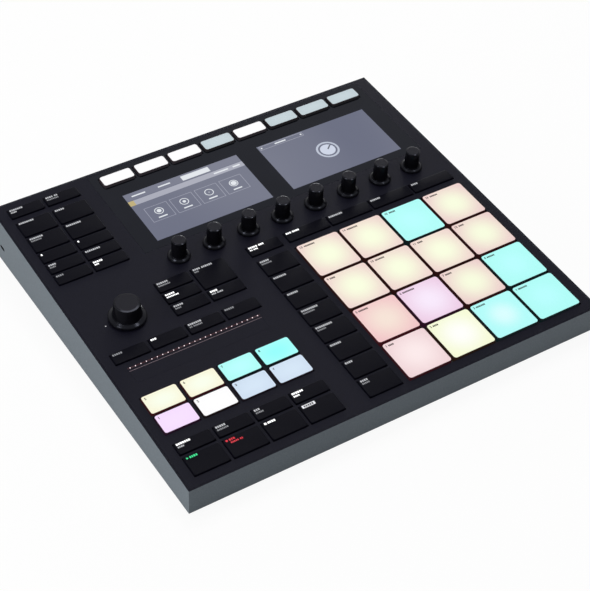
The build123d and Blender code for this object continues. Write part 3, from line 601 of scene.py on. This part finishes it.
# A small closed shape on every point of a mesh, sized, turned and coloured by the point's attributes
tree, given = startTree("stampsOnPoints", {
    "Points": "Geometry", "Stamp": "Object", "Thickness": "Float", "Finish": "Material"})
size, turn = (addNode(tree, "GeometryNodeInputNamedAttribute", {"Name": name}, data_type="FLOAT_VECTOR")
              for name in ("stampSize", "stampTurn"))
plan = addNode(tree, "ShaderNodeSeparateXYZ", {"Vector": size.outputs["Attribute"]})
scale = addNode(tree, "ShaderNodeCombineXYZ", {
    "X": plan.outputs["X"], "Y": plan.outputs["Y"], "Z": given.outputs["Thickness"]})
shape = addNode(tree, "GeometryNodeObjectInfo", {"Object": given.outputs["Stamp"]})
placed = addNode(tree, "GeometryNodeInstanceOnPoints", {
    "Points": given.outputs["Points"], "Instance": shape.outputs["Geometry"],
    "Rotation": turn.outputs["Attribute"], "Scale": scale})
stampNodes = endTree(tree, given, placed)

# A row of equal lamps along x, made by count, spacing and radius
tree, given = startTree("lampRow", {
    "Start": "Geometry", "Count": "Int", "Spacing": "Float", "Radius": "Float", "Height": "Float",
    "Sides": "Int", "Finish": "Material"})
step = addNode(tree, "ShaderNodeCombineXYZ", {"X": given.outputs["Spacing"]})
line = addNode(tree, "GeometryNodeMeshLine", {"Count": given.outputs["Count"], "Offset": step})
lamp = addNode(tree, "GeometryNodeMeshCylinder", {
    "Vertices": given.outputs["Sides"], "Radius": given.outputs["Radius"],
    "Depth": given.outputs["Height"]})
placed = addNode(tree, "GeometryNodeInstanceOnPoints", {"Points": line, "Instance": lamp})
lampNodes = endTree(tree, given, placed)


# Prisms of unit size, standing on the ground plane
def prismStamp(name, outline, hole=None):
    work = bmesh.new()
    low, high = ([work.verts.new((x, y, z)) for x, y in outline] for z in (0, 1))
    bandFaces(work, low, high)
    if hole:
        innerLow, innerHigh = ([work.verts.new((x, y, z)) for x, y in hole] for z in (0, 1))
        bandFaces(work, high, innerHigh)
        bandFaces(work, innerHigh, innerLow)
        bandFaces(work, innerLow, low)
    else:
        work.faces.new(high)
        work.faces.new(low[::-1])
    return bpy.data.objects.new(name, plainMesh(name, work))


def circlePoints(radius, count, start=0.0):
    angles = [start + 2 * math.pi * k / count for k in range(count)]
    return [(radius * math.cos(angle), radius * math.sin(angle)) for angle in angles]


# Corners and side middles of a hexagon hole, to pair with a round rim
hexHole = [(x * reach, y * reach) for (x, y), reach in zip(circlePoints(1.0, 12), (0.25, 0.217) * 6)]
stampLoops = {
    "block": [[(-0.5, -0.5), (0.5, -0.5), (0.5, 0.5), (-0.5, 0.5)]],
    "disc": [circlePoints(0.5, 16)],
    "ring": [circlePoints(0.5, 24), circlePoints(0.41, 24)],
    "triangle": [circlePoints(0.58, 3)],
    "socketHead": [circlePoints(0.5, 12), hexHole],
}
stamps = {stamp: prismStamp(stamp, *loops) for stamp, loops in stampLoops.items()}
printThickness = 0.04  # mm


# One mark on a face: its place and its size (one number, or width and depth) in mm, its turn in degrees
def markAt(place, size, color="#ffffff", turn=0):
    size = size if isinstance(size, tuple) else (size, size)
    return {"place": place, "size": size, "color": color, "turn": turn}


def stampMesh(name, stamp, marks, face, finishName, thickness=printThickness):
    points = bpy.data.meshes.new(f"{name}_points")
    points.from_pydata([[value * mm for value in mark["place"]] for mark in marks], [], [])
    kinds = {"stampSize": "FLOAT_VECTOR", "stampTurn": "FLOAT_VECTOR", "markColor": "FLOAT_COLOR"}
    for attribute, kind in kinds.items():
        points.attributes.new(attribute, kind, "POINT")
    size, turn, tone = (points.attributes[attribute].data for attribute in kinds)
    for k, mark in enumerate(marks):
        width, depth = mark["size"]
        size[k].vector = (width * mm, depth * mm, 0)
        turn[k].vector = (0, 0, math.radians(mark["turn"]))
        tone[k].color = hexColor(mark["color"])
    values = {"Stamp": stamps[stamp], "Thickness": thickness * mm, "Finish": finishes[finishName]}
    mesh = treeMesh(name, points, stampNodes, values)
    mesh.transform(face)
    return mesh


def stampPiece(name, stamp, marks, face, finishName, body, slot, thickness=printThickness):
    mesh = stampMesh(name, stamp, marks, face, finishName, thickness)
    finishPiece(name, mesh, [finishName], body)


# Legends: rows of small blocks in place of words, lit, plain or dim
legendLook = {"inset": 1.5, "drop": 2.1, "lineStep": 2.4, "letter": 1.05, "gap": 0.45, "height": 1.6,
              "small": 0.8, "signRoom": 2.6,
              "widths": (1.0, 0.8, 1.1, 0.9)}  # letters are not all as wide
legendTones = {"b": "#ffffff", "p": "#9fa0a4", "d": "#75767a", "g": "#35c07c", "r": "#b82c36"}


def legendStart(box):
    left = box[0][0] + keyLook["flange"] + legendLook["inset"]
    return left, box[1][1] - keyLook["flange"] - legendLook["drop"]


def legendMarks(box, lines):
    marks = []
    left, top = legendStart(box)
    if "*" in lines:
        left += legendLook["signRoom"]
    for row, line in enumerate(lines.strip(" *").split()):
        share = legendLook["small"] if row else 1.0
        letter, gap, height = (legendLook[part] * share for part in ("letter", "gap", "height"))
        x = left
        y = top - row * legendLook["lineStep"]
        for word in line[1:].split("+"):
            for k in range(int(word)):
                wide = letter * legendLook["widths"][k % 4]
                marks.append(markAt((x + wide / 2, y, box[1][2]), (wide, height), legendTones[line[0]]))
                x += wide + gap
            x += 2 * gap
    return marks


# Keys front to back and left to right, with commas between; each line is a tone and its words' lengths,
# and a star leaves room for a drawn sign
legends = {
    "browse_keys": "d4, b5 b3, p4 d4, p8, b1, b1, p7 d7, p8, p8, p5, p7 p4, p4+2 d8",
    "perform_keys": "d5, b3, p7 d2+6, d5, p5 d4, b4 p3+4, b5 b8, p4+6 d3, p6 d8",
    "transport_keys": "*g4, *r3 r5+2, *b4, , b7 p4, p5 d7, p3 d5, b6 b4",
    "pattern_keys": "p4 d5, p4, p6, p9 d6, p9 d8, p6, p7, p5 d7, b5+3 b2+3, b3+4, p8, p6, p4",
}
for node, keys in legends.items():
    marks = []
    for box, lines in zip(keyBoxes[node], keys.split(",")):
        marks += legendMarks(box, lines)
    stampPiece(f"{node}_legends", "block", marks, deckFace, "back-lit print", node, "key_white")

# Drawn signs of the front transport keys: run, record, halt, and a lit field with dark blocks on it
signKinds = (("triangle", (1.7, 1.7), legendTones["g"]), ("disc", (1.7, 1.7), legendTones["r"]),
             ("block", (1.6, 1.6), legendTones["b"]), ("block", (9.6, 2.5), "#c4c4c8"))
fieldLook = {"shifts": (-3.0, -1.5, 0.0, 1.5, 3.0), "block": (1.0, 1.5), "tone": "#2a2a2e", "lift": 0.03}
signs = {"triangle": [], "disc": [], "block": []}
for box, (stamp, size, tone) in zip(keyBoxes["transport_keys"], signKinds):
    left, top = legendStart(box)
    signs[stamp].append(markAt((left + size[0] / 2, top, box[1][2]), size, tone))
fieldX, fieldY, fieldZ = signs["block"][-1]["place"]
for shift in fieldLook["shifts"]:
    place = (fieldX + shift, fieldY, fieldZ + fieldLook["lift"])
    signs["block"].append(markAt(place, fieldLook["block"], fieldLook["tone"]))
for stamp, marks in signs.items():
    stampPiece(f"transport_{stamp}_signs", stamp, marks, deckFace, "back-lit print", "transport_keys",
               "key_white")

# Plain numbers on the pads and group buttons; on the pads a row of blocks stands in for a name
markLook = {"inset": 2.0, "drop": 3.7, "height": 2.6, "bold": 0.05, "raised": 0.02, "digit": 1.65,
            "space": 0.6, "letter": 0.8, "step": 1.08, "wordHeight": 1.35}
padWords = (4, 4, 7, 7, 7, 9, 5, 6, 4, 7, 4, 4, 8, 8, 5, 6)  # letters after each number


def numberMesh(text):
    words = bpy.data.curves.new("number", "FONT")
    words.body = text
    words.size = markLook["height"] * mm
    words.extrude = markLook["raised"] * mm
    words.offset = 0.0 if "4" in text else markLook["bold"] * mm  # a bold 4 crosses itself at its tip
    words.resolution_u = 2
    return evaluatedMesh(bpy.data.objects.new("number", words))


def markCap(name, body, number, box, flange, letters):
    left = box[0][0] + flange + markLook["inset"]
    base = box[1][1] - flange - markLook["drop"]
    work = bmesh.new()
    digits = numberMesh(str(number))
    place = Vector((left, base, box[1][2] + markLook["raised"])) * mm
    digits.transform(deckFace @ Matrix.Translation(place))
    work.from_mesh(digits)
    if letters:
        start = left + markLook["digit"] * (len(str(number)) + markLook["space"])
        middle = base + markLook["wordHeight"] / 2
        size = (markLook["letter"], markLook["wordHeight"])
        word = [markAt((start + k * markLook["step"], middle, box[1][2]), size) for k in range(letters)]
        work.from_mesh(stampMesh(name, "block", word, deckFace, "marking ink"))
    finishPiece(name, plainMesh(name, work), ["marking ink"], body)


for number, (box, letters) in enumerate(zip(padBoxes, padWords), 1):
    markCap(f"pad_{number}_mark", f"pad_{number}", number, box, padLook["flange"], letters)
for number, box in enumerate(groupBoxes, 1):
    markCap(f"group_{number}_mark", f"group_button_{number}", number, box, groupLook["flange"], 0)
print("legends and numbers made")

# Touch strip: its lamps, the lit slot they stand in, and a painted highlight: a glowing line along the strip's
# back edge
caseGlowMarks = ("back-lit print", "case", "key_white")
stripLook = {"lamps": 25, "endInset": 1.8, "lampRadius": 0.36, "lampHeight": 0.12, "lampSides": 12,
             "lampLift": 0.05, "slotWidth": 1.4, "slotTone": "#200c13", "highlightWidth": 0.3, "highlightGap": 0.2,
             "highlightTone": "#64565c", "thickness": 0.03, "nudgeLamp": 0.9, "nudgeTone": "#a8a8ac"}
stripBox, barBox, nudgeBox = solidBoxes("touch_strip")  # strip, lamp bar and the lamp by the large knob
barLength = barBox[1][0] - barBox[0][0]
barMiddle = (barBox[0][1] + barBox[1][1]) / 2
spacing = (barLength - 2 * stripLook["endInset"]) / (stripLook["lamps"] - 1)
lampMesh = treeMesh("strip_lamps", bpy.data.meshes.new("strip_start"), lampNodes, {
    "Count": stripLook["lamps"], "Spacing": spacing * mm, "Radius": stripLook["lampRadius"] * mm,
    "Height": stripLook["lampHeight"] * mm, "Sides": stripLook["lampSides"],
    "Finish": finishes["lit lamp lens"]})
lampStart = Vector((barBox[0][0] + stripLook["endInset"], barMiddle, stripLook["lampLift"])) * mm
lampMesh.transform(deckFace @ Matrix.Translation(lampStart))
finishPiece("strip_lamps", lampMesh, ["lit lamp lens"], "case")
stripMiddle = (stripBox[0][0] + stripBox[1][0]) / 2
lineY = stripBox[1][1] + stripLook["highlightGap"]
stampPiece("strip_lines", "block", [
    markAt((stripMiddle, barMiddle, 0.0), (barLength, stripLook["slotWidth"]), stripLook["slotTone"]),
    # painted highlight: the strip's back edge drawn as a thin glowing line
    markAt((stripMiddle, lineY, 0.0), (barLength, stripLook["highlightWidth"]), stripLook["highlightTone"]),
], deckFace, *caseGlowMarks, stripLook["thickness"])
nudgeMiddle = [(nudgeBox[0][k] + nudgeBox[1][k]) / 2 for k in range(2)]
nudgeMark = markAt((*nudgeMiddle, 0.0), stripLook["nudgeLamp"], stripLook["nudgeTone"])
stampPiece("nudge_lamp", "disc", [nudgeMark], deckFace, *caseGlowMarks)
print("touch strip lit")

# Displays: a grey field with plain bars, boxes and dials, no words, in layers over the glass
screenLook = {"border": (5.25, 6.65), "layer": 0.02, "boxLine": 0.4}
screenTones = {
    "field": "#64687c", "head": "#6d7083", "line": "#9a9cac", "white": "#e0e4e9", "soft": "#a4a6b4",
    "gold": "#bcaa72", "dark": "#565a68", "dial": "#cbd2e3", "dialRing": "#bac1d1"}
glassTop = solidBoxes("display_window")[0][1][2]
screens = []
for low, high in solidBoxes("display_modules"):
    spans = [(a + edge, b - a - 2 * edge) for a, b, edge in zip(low, high, screenLook["border"])]
    screens.append([value for pair in zip(*spans) for value in pair])  # left, front, width, depth
bars, discs, rings = [], [], []


def screenBar(screen, x, y, width, depth, tone, layer=2):
    place = (screen[0] + x + width / 2, screen[1] + y + depth / 2, glassTop + screenLook["layer"] * layer)
    bars.append(markAt(place, (width, depth), screenTones[tone]))


def screenBox(screen, x, y, width, depth, tone, line=screenLook["boxLine"]):
    for lineY in (y, y + depth - line):
        screenBar(screen, x, lineY, width, line, tone)
    for lineX in (x, x + width - line):
        screenBar(screen, lineX, y, line, depth, tone)


def screenRound(store, screen, x, y, size, tone, layer=2):
    place = (screen[0] + x, screen[1] + y, glassTop + screenLook["layer"] * layer)
    store.append(markAt(place, size, screenTones[tone]))


for screen in screens:
    screenBar(screen, 0, 0, *screen[2:], "field", 0)
leftScreen, rightScreen = screens
leftWide, leftDeep = leftScreen[2:]
rightWide, rightDeep = rightScreen[2:]

# Left: a head with a tab, a paler bar with a gold end, short bars for words, and four boxes with a dial each
leftBars = (  # start, drop of the front edge from the back of the picture, width, depth, tone, layer
    (0, 7.4, leftWide, 7.4, "head", 1), (0, 13.4, leftWide, 5.2, "soft", 1), (0, 13.4, 4.5, 5.2, "gold", 2),
    (46.5, 6.6, 23.0, 5.0, "white", 2), (5.5, 4.6, 11.0, 1.3, "white", 2), (27.0, 4.6, 10.0, 1.3, "white", 2),
    (70.0, 11.4, 12.0, 1.4, "white", 2), (86.0, 11.4, 6.0, 1.4, "white", 2))
for x, drop, width, depth, tone, layer in leftBars:
    screenBar(leftScreen, x, leftDeep - drop, width, depth, tone, layer)
boxLook = {"start": 6.6, "step": 20.6, "front": 17.8, "size": (18.2, 16.2), "dialX": 9.1, "dialY": 27.2,
           "ring": 7.0, "discs": (3.6, 2.6, 0.8, 4.6), "wordX": 5.6, "word": (20.2, 7.0, 1.2)}
for k, disc in enumerate(boxLook["discs"]):
    x = boxLook["start"] + boxLook["step"] * k
    screenBox(leftScreen, x, boxLook["front"], *boxLook["size"], "line")
    screenRound(rings, leftScreen, x + boxLook["dialX"], boxLook["dialY"], boxLook["ring"], "white")
    screenRound(discs, leftScreen, x + boxLook["dialX"], boxLook["dialY"], disc, "white")
    screenBar(leftScreen, x + boxLook["wordX"], *boxLook["word"], "white")

# Right: a framed line with three short bars, and one large dial with a needle
frameLook = {"start": 1.2, "drop": 5.0, "size": (38.0, 4.2), "line": 0.35}
screenBox(rightScreen, frameLook["start"], rightDeep - frameLook["drop"], *frameLook["size"], "soft",
          frameLook["line"])
for x, drop, width, depth in ((14.5, 3.5, 9.5, 1.3), (2.4, 3.6, 1.2, 1.4), (36.8, 3.6, 1.2, 1.4)):
    screenBar(rightScreen, x, rightDeep - drop, width, depth, "white")
dialLook = {"shift": (-1.5, -1.0), "ring": 18.0, "disc": 12.0, "needle": (1.1, 5.4), "reach": 3.1,
            "turn": -48, "layer": 4}
dialX, dialY = rightWide / 2 + dialLook["shift"][0], rightDeep / 2 + dialLook["shift"][1]
screenRound(rings, rightScreen, dialX, dialY, dialLook["ring"], "dialRing")
screenRound(discs, rightScreen, dialX, dialY, dialLook["disc"], "dial")
needleTurn = math.radians(dialLook["turn"])
needlePlace = (rightScreen[0] + dialX - dialLook["reach"] * math.sin(needleTurn),
               rightScreen[1] + dialY + dialLook["reach"] * math.cos(needleTurn),
               glassTop + screenLook["layer"] * dialLook["layer"])
bars.append(markAt(needlePlace, dialLook["needle"], screenTones["dark"], dialLook["turn"]))
for stamp, marks in (("block", bars), ("disc", discs), ("ring", rings)):
    stampPiece(f"display_{stamp}s", stamp, marks, deckFace, "display picture", "case", "display_grey",
               screenLook["layer"])
print("displays drawn")


# Rear: collars, pins, contacts, painted shade in the socket holes and plain marks over the sockets, at the places
# that the mounts give
def rearSpot(name):
    place = Vector(mounts[name]["pos_m"]) / mm
    return -place.x, place.z


brassParts = ("nickel plated brass", "case", "encoder_metal")
paintedShadeParts = ("moulded rubber", "case", "socket_black")
plateDepth = (rearHigh.y - rearLow.y) / mm
jackNames = [name for name in mounts if name.startswith("jack_")]
jackLook = {"collar": 9.0, "nut": 2.0, "rise": 0.4}
collars = [markAt((*rearSpot(name), jackLook["nut"]), jackLook["collar"]) for name in jackNames]
stampPiece("jack_collars", "ring", collars, rearFace, *brassParts, jackLook["rise"])

roundNames = [name for name in mounts if name.startswith("round_socket_")]
roundLook = {
    "shield": 14.0, "shieldRise": 1.2, "insert": 11.6, "insertRise": 0.3, "holeRise": 0.05, "pin": 1.5,
    "pinCircle": 3.75, "pinAngles": (180, 225, 270, 315, 360), "key": (2.2, 1.4), "keyInset": 0.9}
shields, inserts, pinHoleShades = [], [], []
# the pin holes and the key notch are dark discs: painted shade where the holes are
holeZ = -plateDepth + roundLook["insertRise"]
for name in roundNames:
    x, z = rearSpot(name)
    shields.append(markAt((x, z, -plateDepth), roundLook["shield"]))
    inserts.append(markAt((x, z, -plateDepth), roundLook["insert"]))
    for angle in map(math.radians, roundLook["pinAngles"]):
        pinX = x + roundLook["pinCircle"] * math.cos(angle)
        pinHoleShades.append(markAt((pinX, z + roundLook["pinCircle"] * math.sin(angle), holeZ), roundLook["pin"]))
    keyZ = z + roundLook["insert"] / 2 - roundLook["keyInset"]
    pinHoleShades.append(markAt((x, keyZ, holeZ), roundLook["key"]))
stampPiece("round_socket_shields", "ring", shields, rearFace, *brassParts, roundLook["shieldRise"])
stampPiece("round_socket_inserts", "disc", inserts, rearFace, "powder coated steel", "case", "socket_black",
           roundLook["insertRise"])
stampPiece("round_socket_holes", "disc", pinHoleShades, rearFace, *paintedShadeParts, roundLook["holeRise"])

inletLook = {"pin": 1.9, "length": 7.0, "depth": 8.4}
inletPin = markAt((*rearSpot("power_inlet"), -inletLook["depth"]), inletLook["pin"])
stampPiece("inlet_pin", "disc", [inletPin], rearFace, *brassParts, inletLook["length"])
dataLook = {"contacts": (-1.3, 1.3), "size": (1.3, 0.2), "rise": 1.72, "length": 4.2, "depth": 5.4}
dataX, dataZ = rearSpot("data_socket")
contacts = [markAt((dataX + shift, dataZ + side * dataLook["rise"], -dataLook["depth"]), dataLook["size"])
            for shift in dataLook["contacts"] for side in (-1, 1)]
stampPiece("data_contacts", "block", contacts, rearFace, *brassParts, dataLook["length"])

labelLook = {"height": 27.0, "letter": (0.8, 1.2), "step": 1.15, "tone": "#8b8c90",
             "letters": {"jack": 5, "round": 6, "power": 4, "data": 3}}
labels = []
for name in (*jackNames, *roundNames, "power_inlet", "data_socket"):
    letters = labelLook["letters"][name.split("_")[0]]
    for k in range(letters):
        x = rearSpot(name)[0] + (k - (letters - 1) / 2) * labelLook["step"]
        labels.append(markAt((x, labelLook["height"], 0.0), labelLook["letter"], labelLook["tone"]))
# the labels glow in the print finish though no lamp is behind them: a painted glow
stampPiece("rear_labels", "block", labels, rearFace, *caseGlowMarks)

# Lock slot: a dark back plate and a thin dark lining on its walls, painted shade inside the slot
slotLook = {"size": (6.96, 2.96), "lining": 0.2, "depth": 1.6, "lip": 0.02, "back": 0.4, "steps": 6,
            "straight": 0.01}  # straight: what stays of the short sides between the rounds
slotFace = axesMatrix(Vector(mounts["lock_slot"]["pos_m"]), -back, up, -right)
slotLoops = []
for inset in (0.0, slotLook["lining"]):
    width, depth = (side - 2 * inset for side in slotLook["size"])
    corner = slotLook["size"][1] / 2 - inset - slotLook["straight"]
    slotLoops.append(roundedLoop(width, depth, corner, slotLook["steps"]))
stamps["slotLining"] = prismStamp("slotLining", *slotLoops)
stamps["slotBack"] = prismStamp("slotBack", slotLoops[1])
for stamp, rise in (("slotLining", slotLook["depth"] - slotLook["lip"]), ("slotBack", slotLook["back"])):
    stampPiece(f"lock_{stamp}", stamp, [markAt((0, 0, -slotLook["depth"]), 1)], slotFace, *paintedShadeParts, rise)

# Base screws: socket heads under the posts
screwLook = {"head": 5.2, "rise": 0.8, "floorShare": 0.6, "floor": 0.25, "side": 6.3, "front": 8.0,
             "rear": 8.9}
screwSpots = [(x, -y) for x in (caseLow.x / mm + screwLook["side"], caseHigh.x / mm - screwLook["side"])
              for y in (caseLow.y / mm + screwLook["front"], 0.0, caseHigh.y / mm - screwLook["rear"])]
for stamp, size, rise in (("socketHead", screwLook["head"], screwLook["rise"]),
                          ("disc", screwLook["head"] * screwLook["floorShare"], screwLook["floor"])):
    stampPiece(f"base_screw_{stamp}s", stamp, [markAt((x, y, 0.0), size) for x, y in screwSpots], baseFace,
               "zinc plated steel", "case", "encoder_metal", rise)
print("rear dressed")

# Power button and rear knobs
powerLook = {**capLook, "flangeThickness": 0.8, "corner": 1.0, "cornerSteps": 4, "fillet": 0.6}
corners = [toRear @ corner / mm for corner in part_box("power_button")]
powerBox = ([min(a, b) for a, b in zip(*corners)], [max(a, b) for a, b in zip(*corners)])
capPiece("power_cap", "power_button", [powerBox], powerLook, ["satin black ABS"], face=rearFace)
rearKnobLook = {"shaft": 3.0, "foot": -8.5, "lift": 0.5, "radius": 5.6, "edge": 0.5, "flute": 0.25,
                "segments": 72}
for number in range(1, 4):
    node = f"rear_knob_{number}"
    place = Vector(joints[f"{node}_turn"]["pos_m"])
    place.y = rearHigh.y
    shaft, lift, radius = (rearKnobLook[part] for part in ("shaft", "lift", "radius"))
    top = (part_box(node)[1].y - rearHigh.y) / mm
    profile = [(shaft, rearKnobLook["foot"], 0), (shaft, lift, 0), (radius, lift, 0)]
    profile += edgeArc(radius, top, rearKnobLook["edge"])
    profile[-1] = (*profile[-1][:2], 1)  # the flat end is soft to the touch
    mesh = turnedMesh(node, axesMatrix(place, -right, up, back), profile, rearKnobLook["segments"],
                      rearKnobLook["flute"])
    finishPiece(f"turned_{node}", mesh, ["satin black ABS", "soft touch black"], node, [node])

# Feet: soft strips with rounded edges
footLook = {**capLook, "flange": 0.0, "flangeThickness": 0.2, "corner": 2.0, "cornerSteps": 4, "fillet": 0.5,
            "length": 26.0, "width": 9.0}
footLow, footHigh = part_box("rubber_feet")
footRise = (baseLow.z - footLow.z) / mm
footBoxes = [((x, y, 0.0), (x + footLook["length"], y + footLook["width"], footRise))
             for x in (footLow.x / mm, footHigh.x / mm - footLook["length"])
             for y in (-footLow.y / mm - footLook["width"], -footHigh.y / mm)]
capPiece("foot_strips", "rubber_feet", footBoxes, footLook, ["moulded rubber"], face=baseFace, body="case")
print("rear and underside made")


# 1 for what the eye sees straight, in a reflection or through glass; 0 for the light on the object
def seenShare(tree):
    path = addNode(tree, "ShaderNodeLightPath")
    seen = path.outputs["Is Camera Ray"]
    for ray in ("Is Glossy Ray", "Is Transmission Ray"):
        seen = addNode(tree, "ShaderNodeMath", {0: seen, 1: path.outputs[ray]}, operation="MAXIMUM")
    return seen


# Floor and backdrop: white to the eye and in reflections, with the object's shadow kept
stageLook = {"reach": 14.0, "tone": "#f2f2f2", "roughness": 0.9, "keep": 0.92}
work = bmesh.new()
triangle = circlePoints(stageLook["reach"], 3, math.pi / 2)  # one face, so no seam shows
work.faces.new([work.verts.new((x, y, 0)) for x, y in triangle])
floorMesh = plainMesh("floor", work)
floor = bpy.data.objects.new("floor", floorMesh)
scene.collection.objects.link(floor)
paper = bpy.data.materials.new("white paper sweep")
tree = clearTree(paper)
shader = addNode(tree, "ShaderNodeBsdfPrincipled", {
    "Base Color": hexColor(stageLook["tone"]), "Roughness": stageLook["roughness"],
    "Specular IOR Level": 0.0})
share = addNode(tree, "ShaderNodeMath", {0: seenShare(tree), 1: stageLook["keep"]}, operation="MULTIPLY")
white = addNode(tree, "ShaderNodeEmission", {"Color": (1, 1, 1, 1), "Strength": 1.0})
mixed = addNode(tree, "ShaderNodeMixShader", {0: share, 1: shader, 2: white})
facing = addNode(tree, "ShaderNodeNewGeometry")  # clear from below, so the underside can be looked at
clear = addNode(tree, "ShaderNodeBsdfTransparent")
sheet = addNode(tree, "ShaderNodeMixShader", {0: facing.outputs["Backfacing"], 1: mixed, 2: clear})
addNode(tree, "ShaderNodeOutputMaterial", {"Surface": sheet})
floorMesh.materials.append(paper)

worldLook = {"diffuse": 0.22}  # strength on the object; what the eye sees of the room has strength 1
world = bpy.data.worlds.new("white room")
scene.world = world
tree = clearTree(world)
level = addNode(tree, "ShaderNodeMapRange", {
    "Value": seenShare(tree), "To Min": worldLook["diffuse"], "To Max": 1.0})
sky = addNode(tree, "ShaderNodeBackground", {"Color": (1, 1, 1, 1), "Strength": level})
addNode(tree, "ShaderNodeOutputWorld", {"Surface": sky})

# Lamps: a key from the back right, a broad fill from the left, one from the back, and two small glints
lampAim = (0, 0, 0.03)
lampLooks = {  # place and size in m, power in W
    "key": ((0.35, 0.55, 1.75), 0.8, 13),
    "fill": ((-1.6, -0.1, 0.55), 0.9, 16.5),
    "left glint": ((-0.52, 0.24, 1.54), 0.25, 3),
    "right glint": ((0.55, -0.44, 1.48), 0.25, 3),
    "rear fill": ((1.2, 1.7, 0.5), 0.5, 11),
}
for name, (place, size, power) in lampLooks.items():
    lamp = bpy.data.objects.new(name, bpy.data.lights.new(name, "AREA"))
    lamp.data.size = size
    lamp.data.energy = power
    aimAt(lamp, place, lampAim)
print("stage lit")
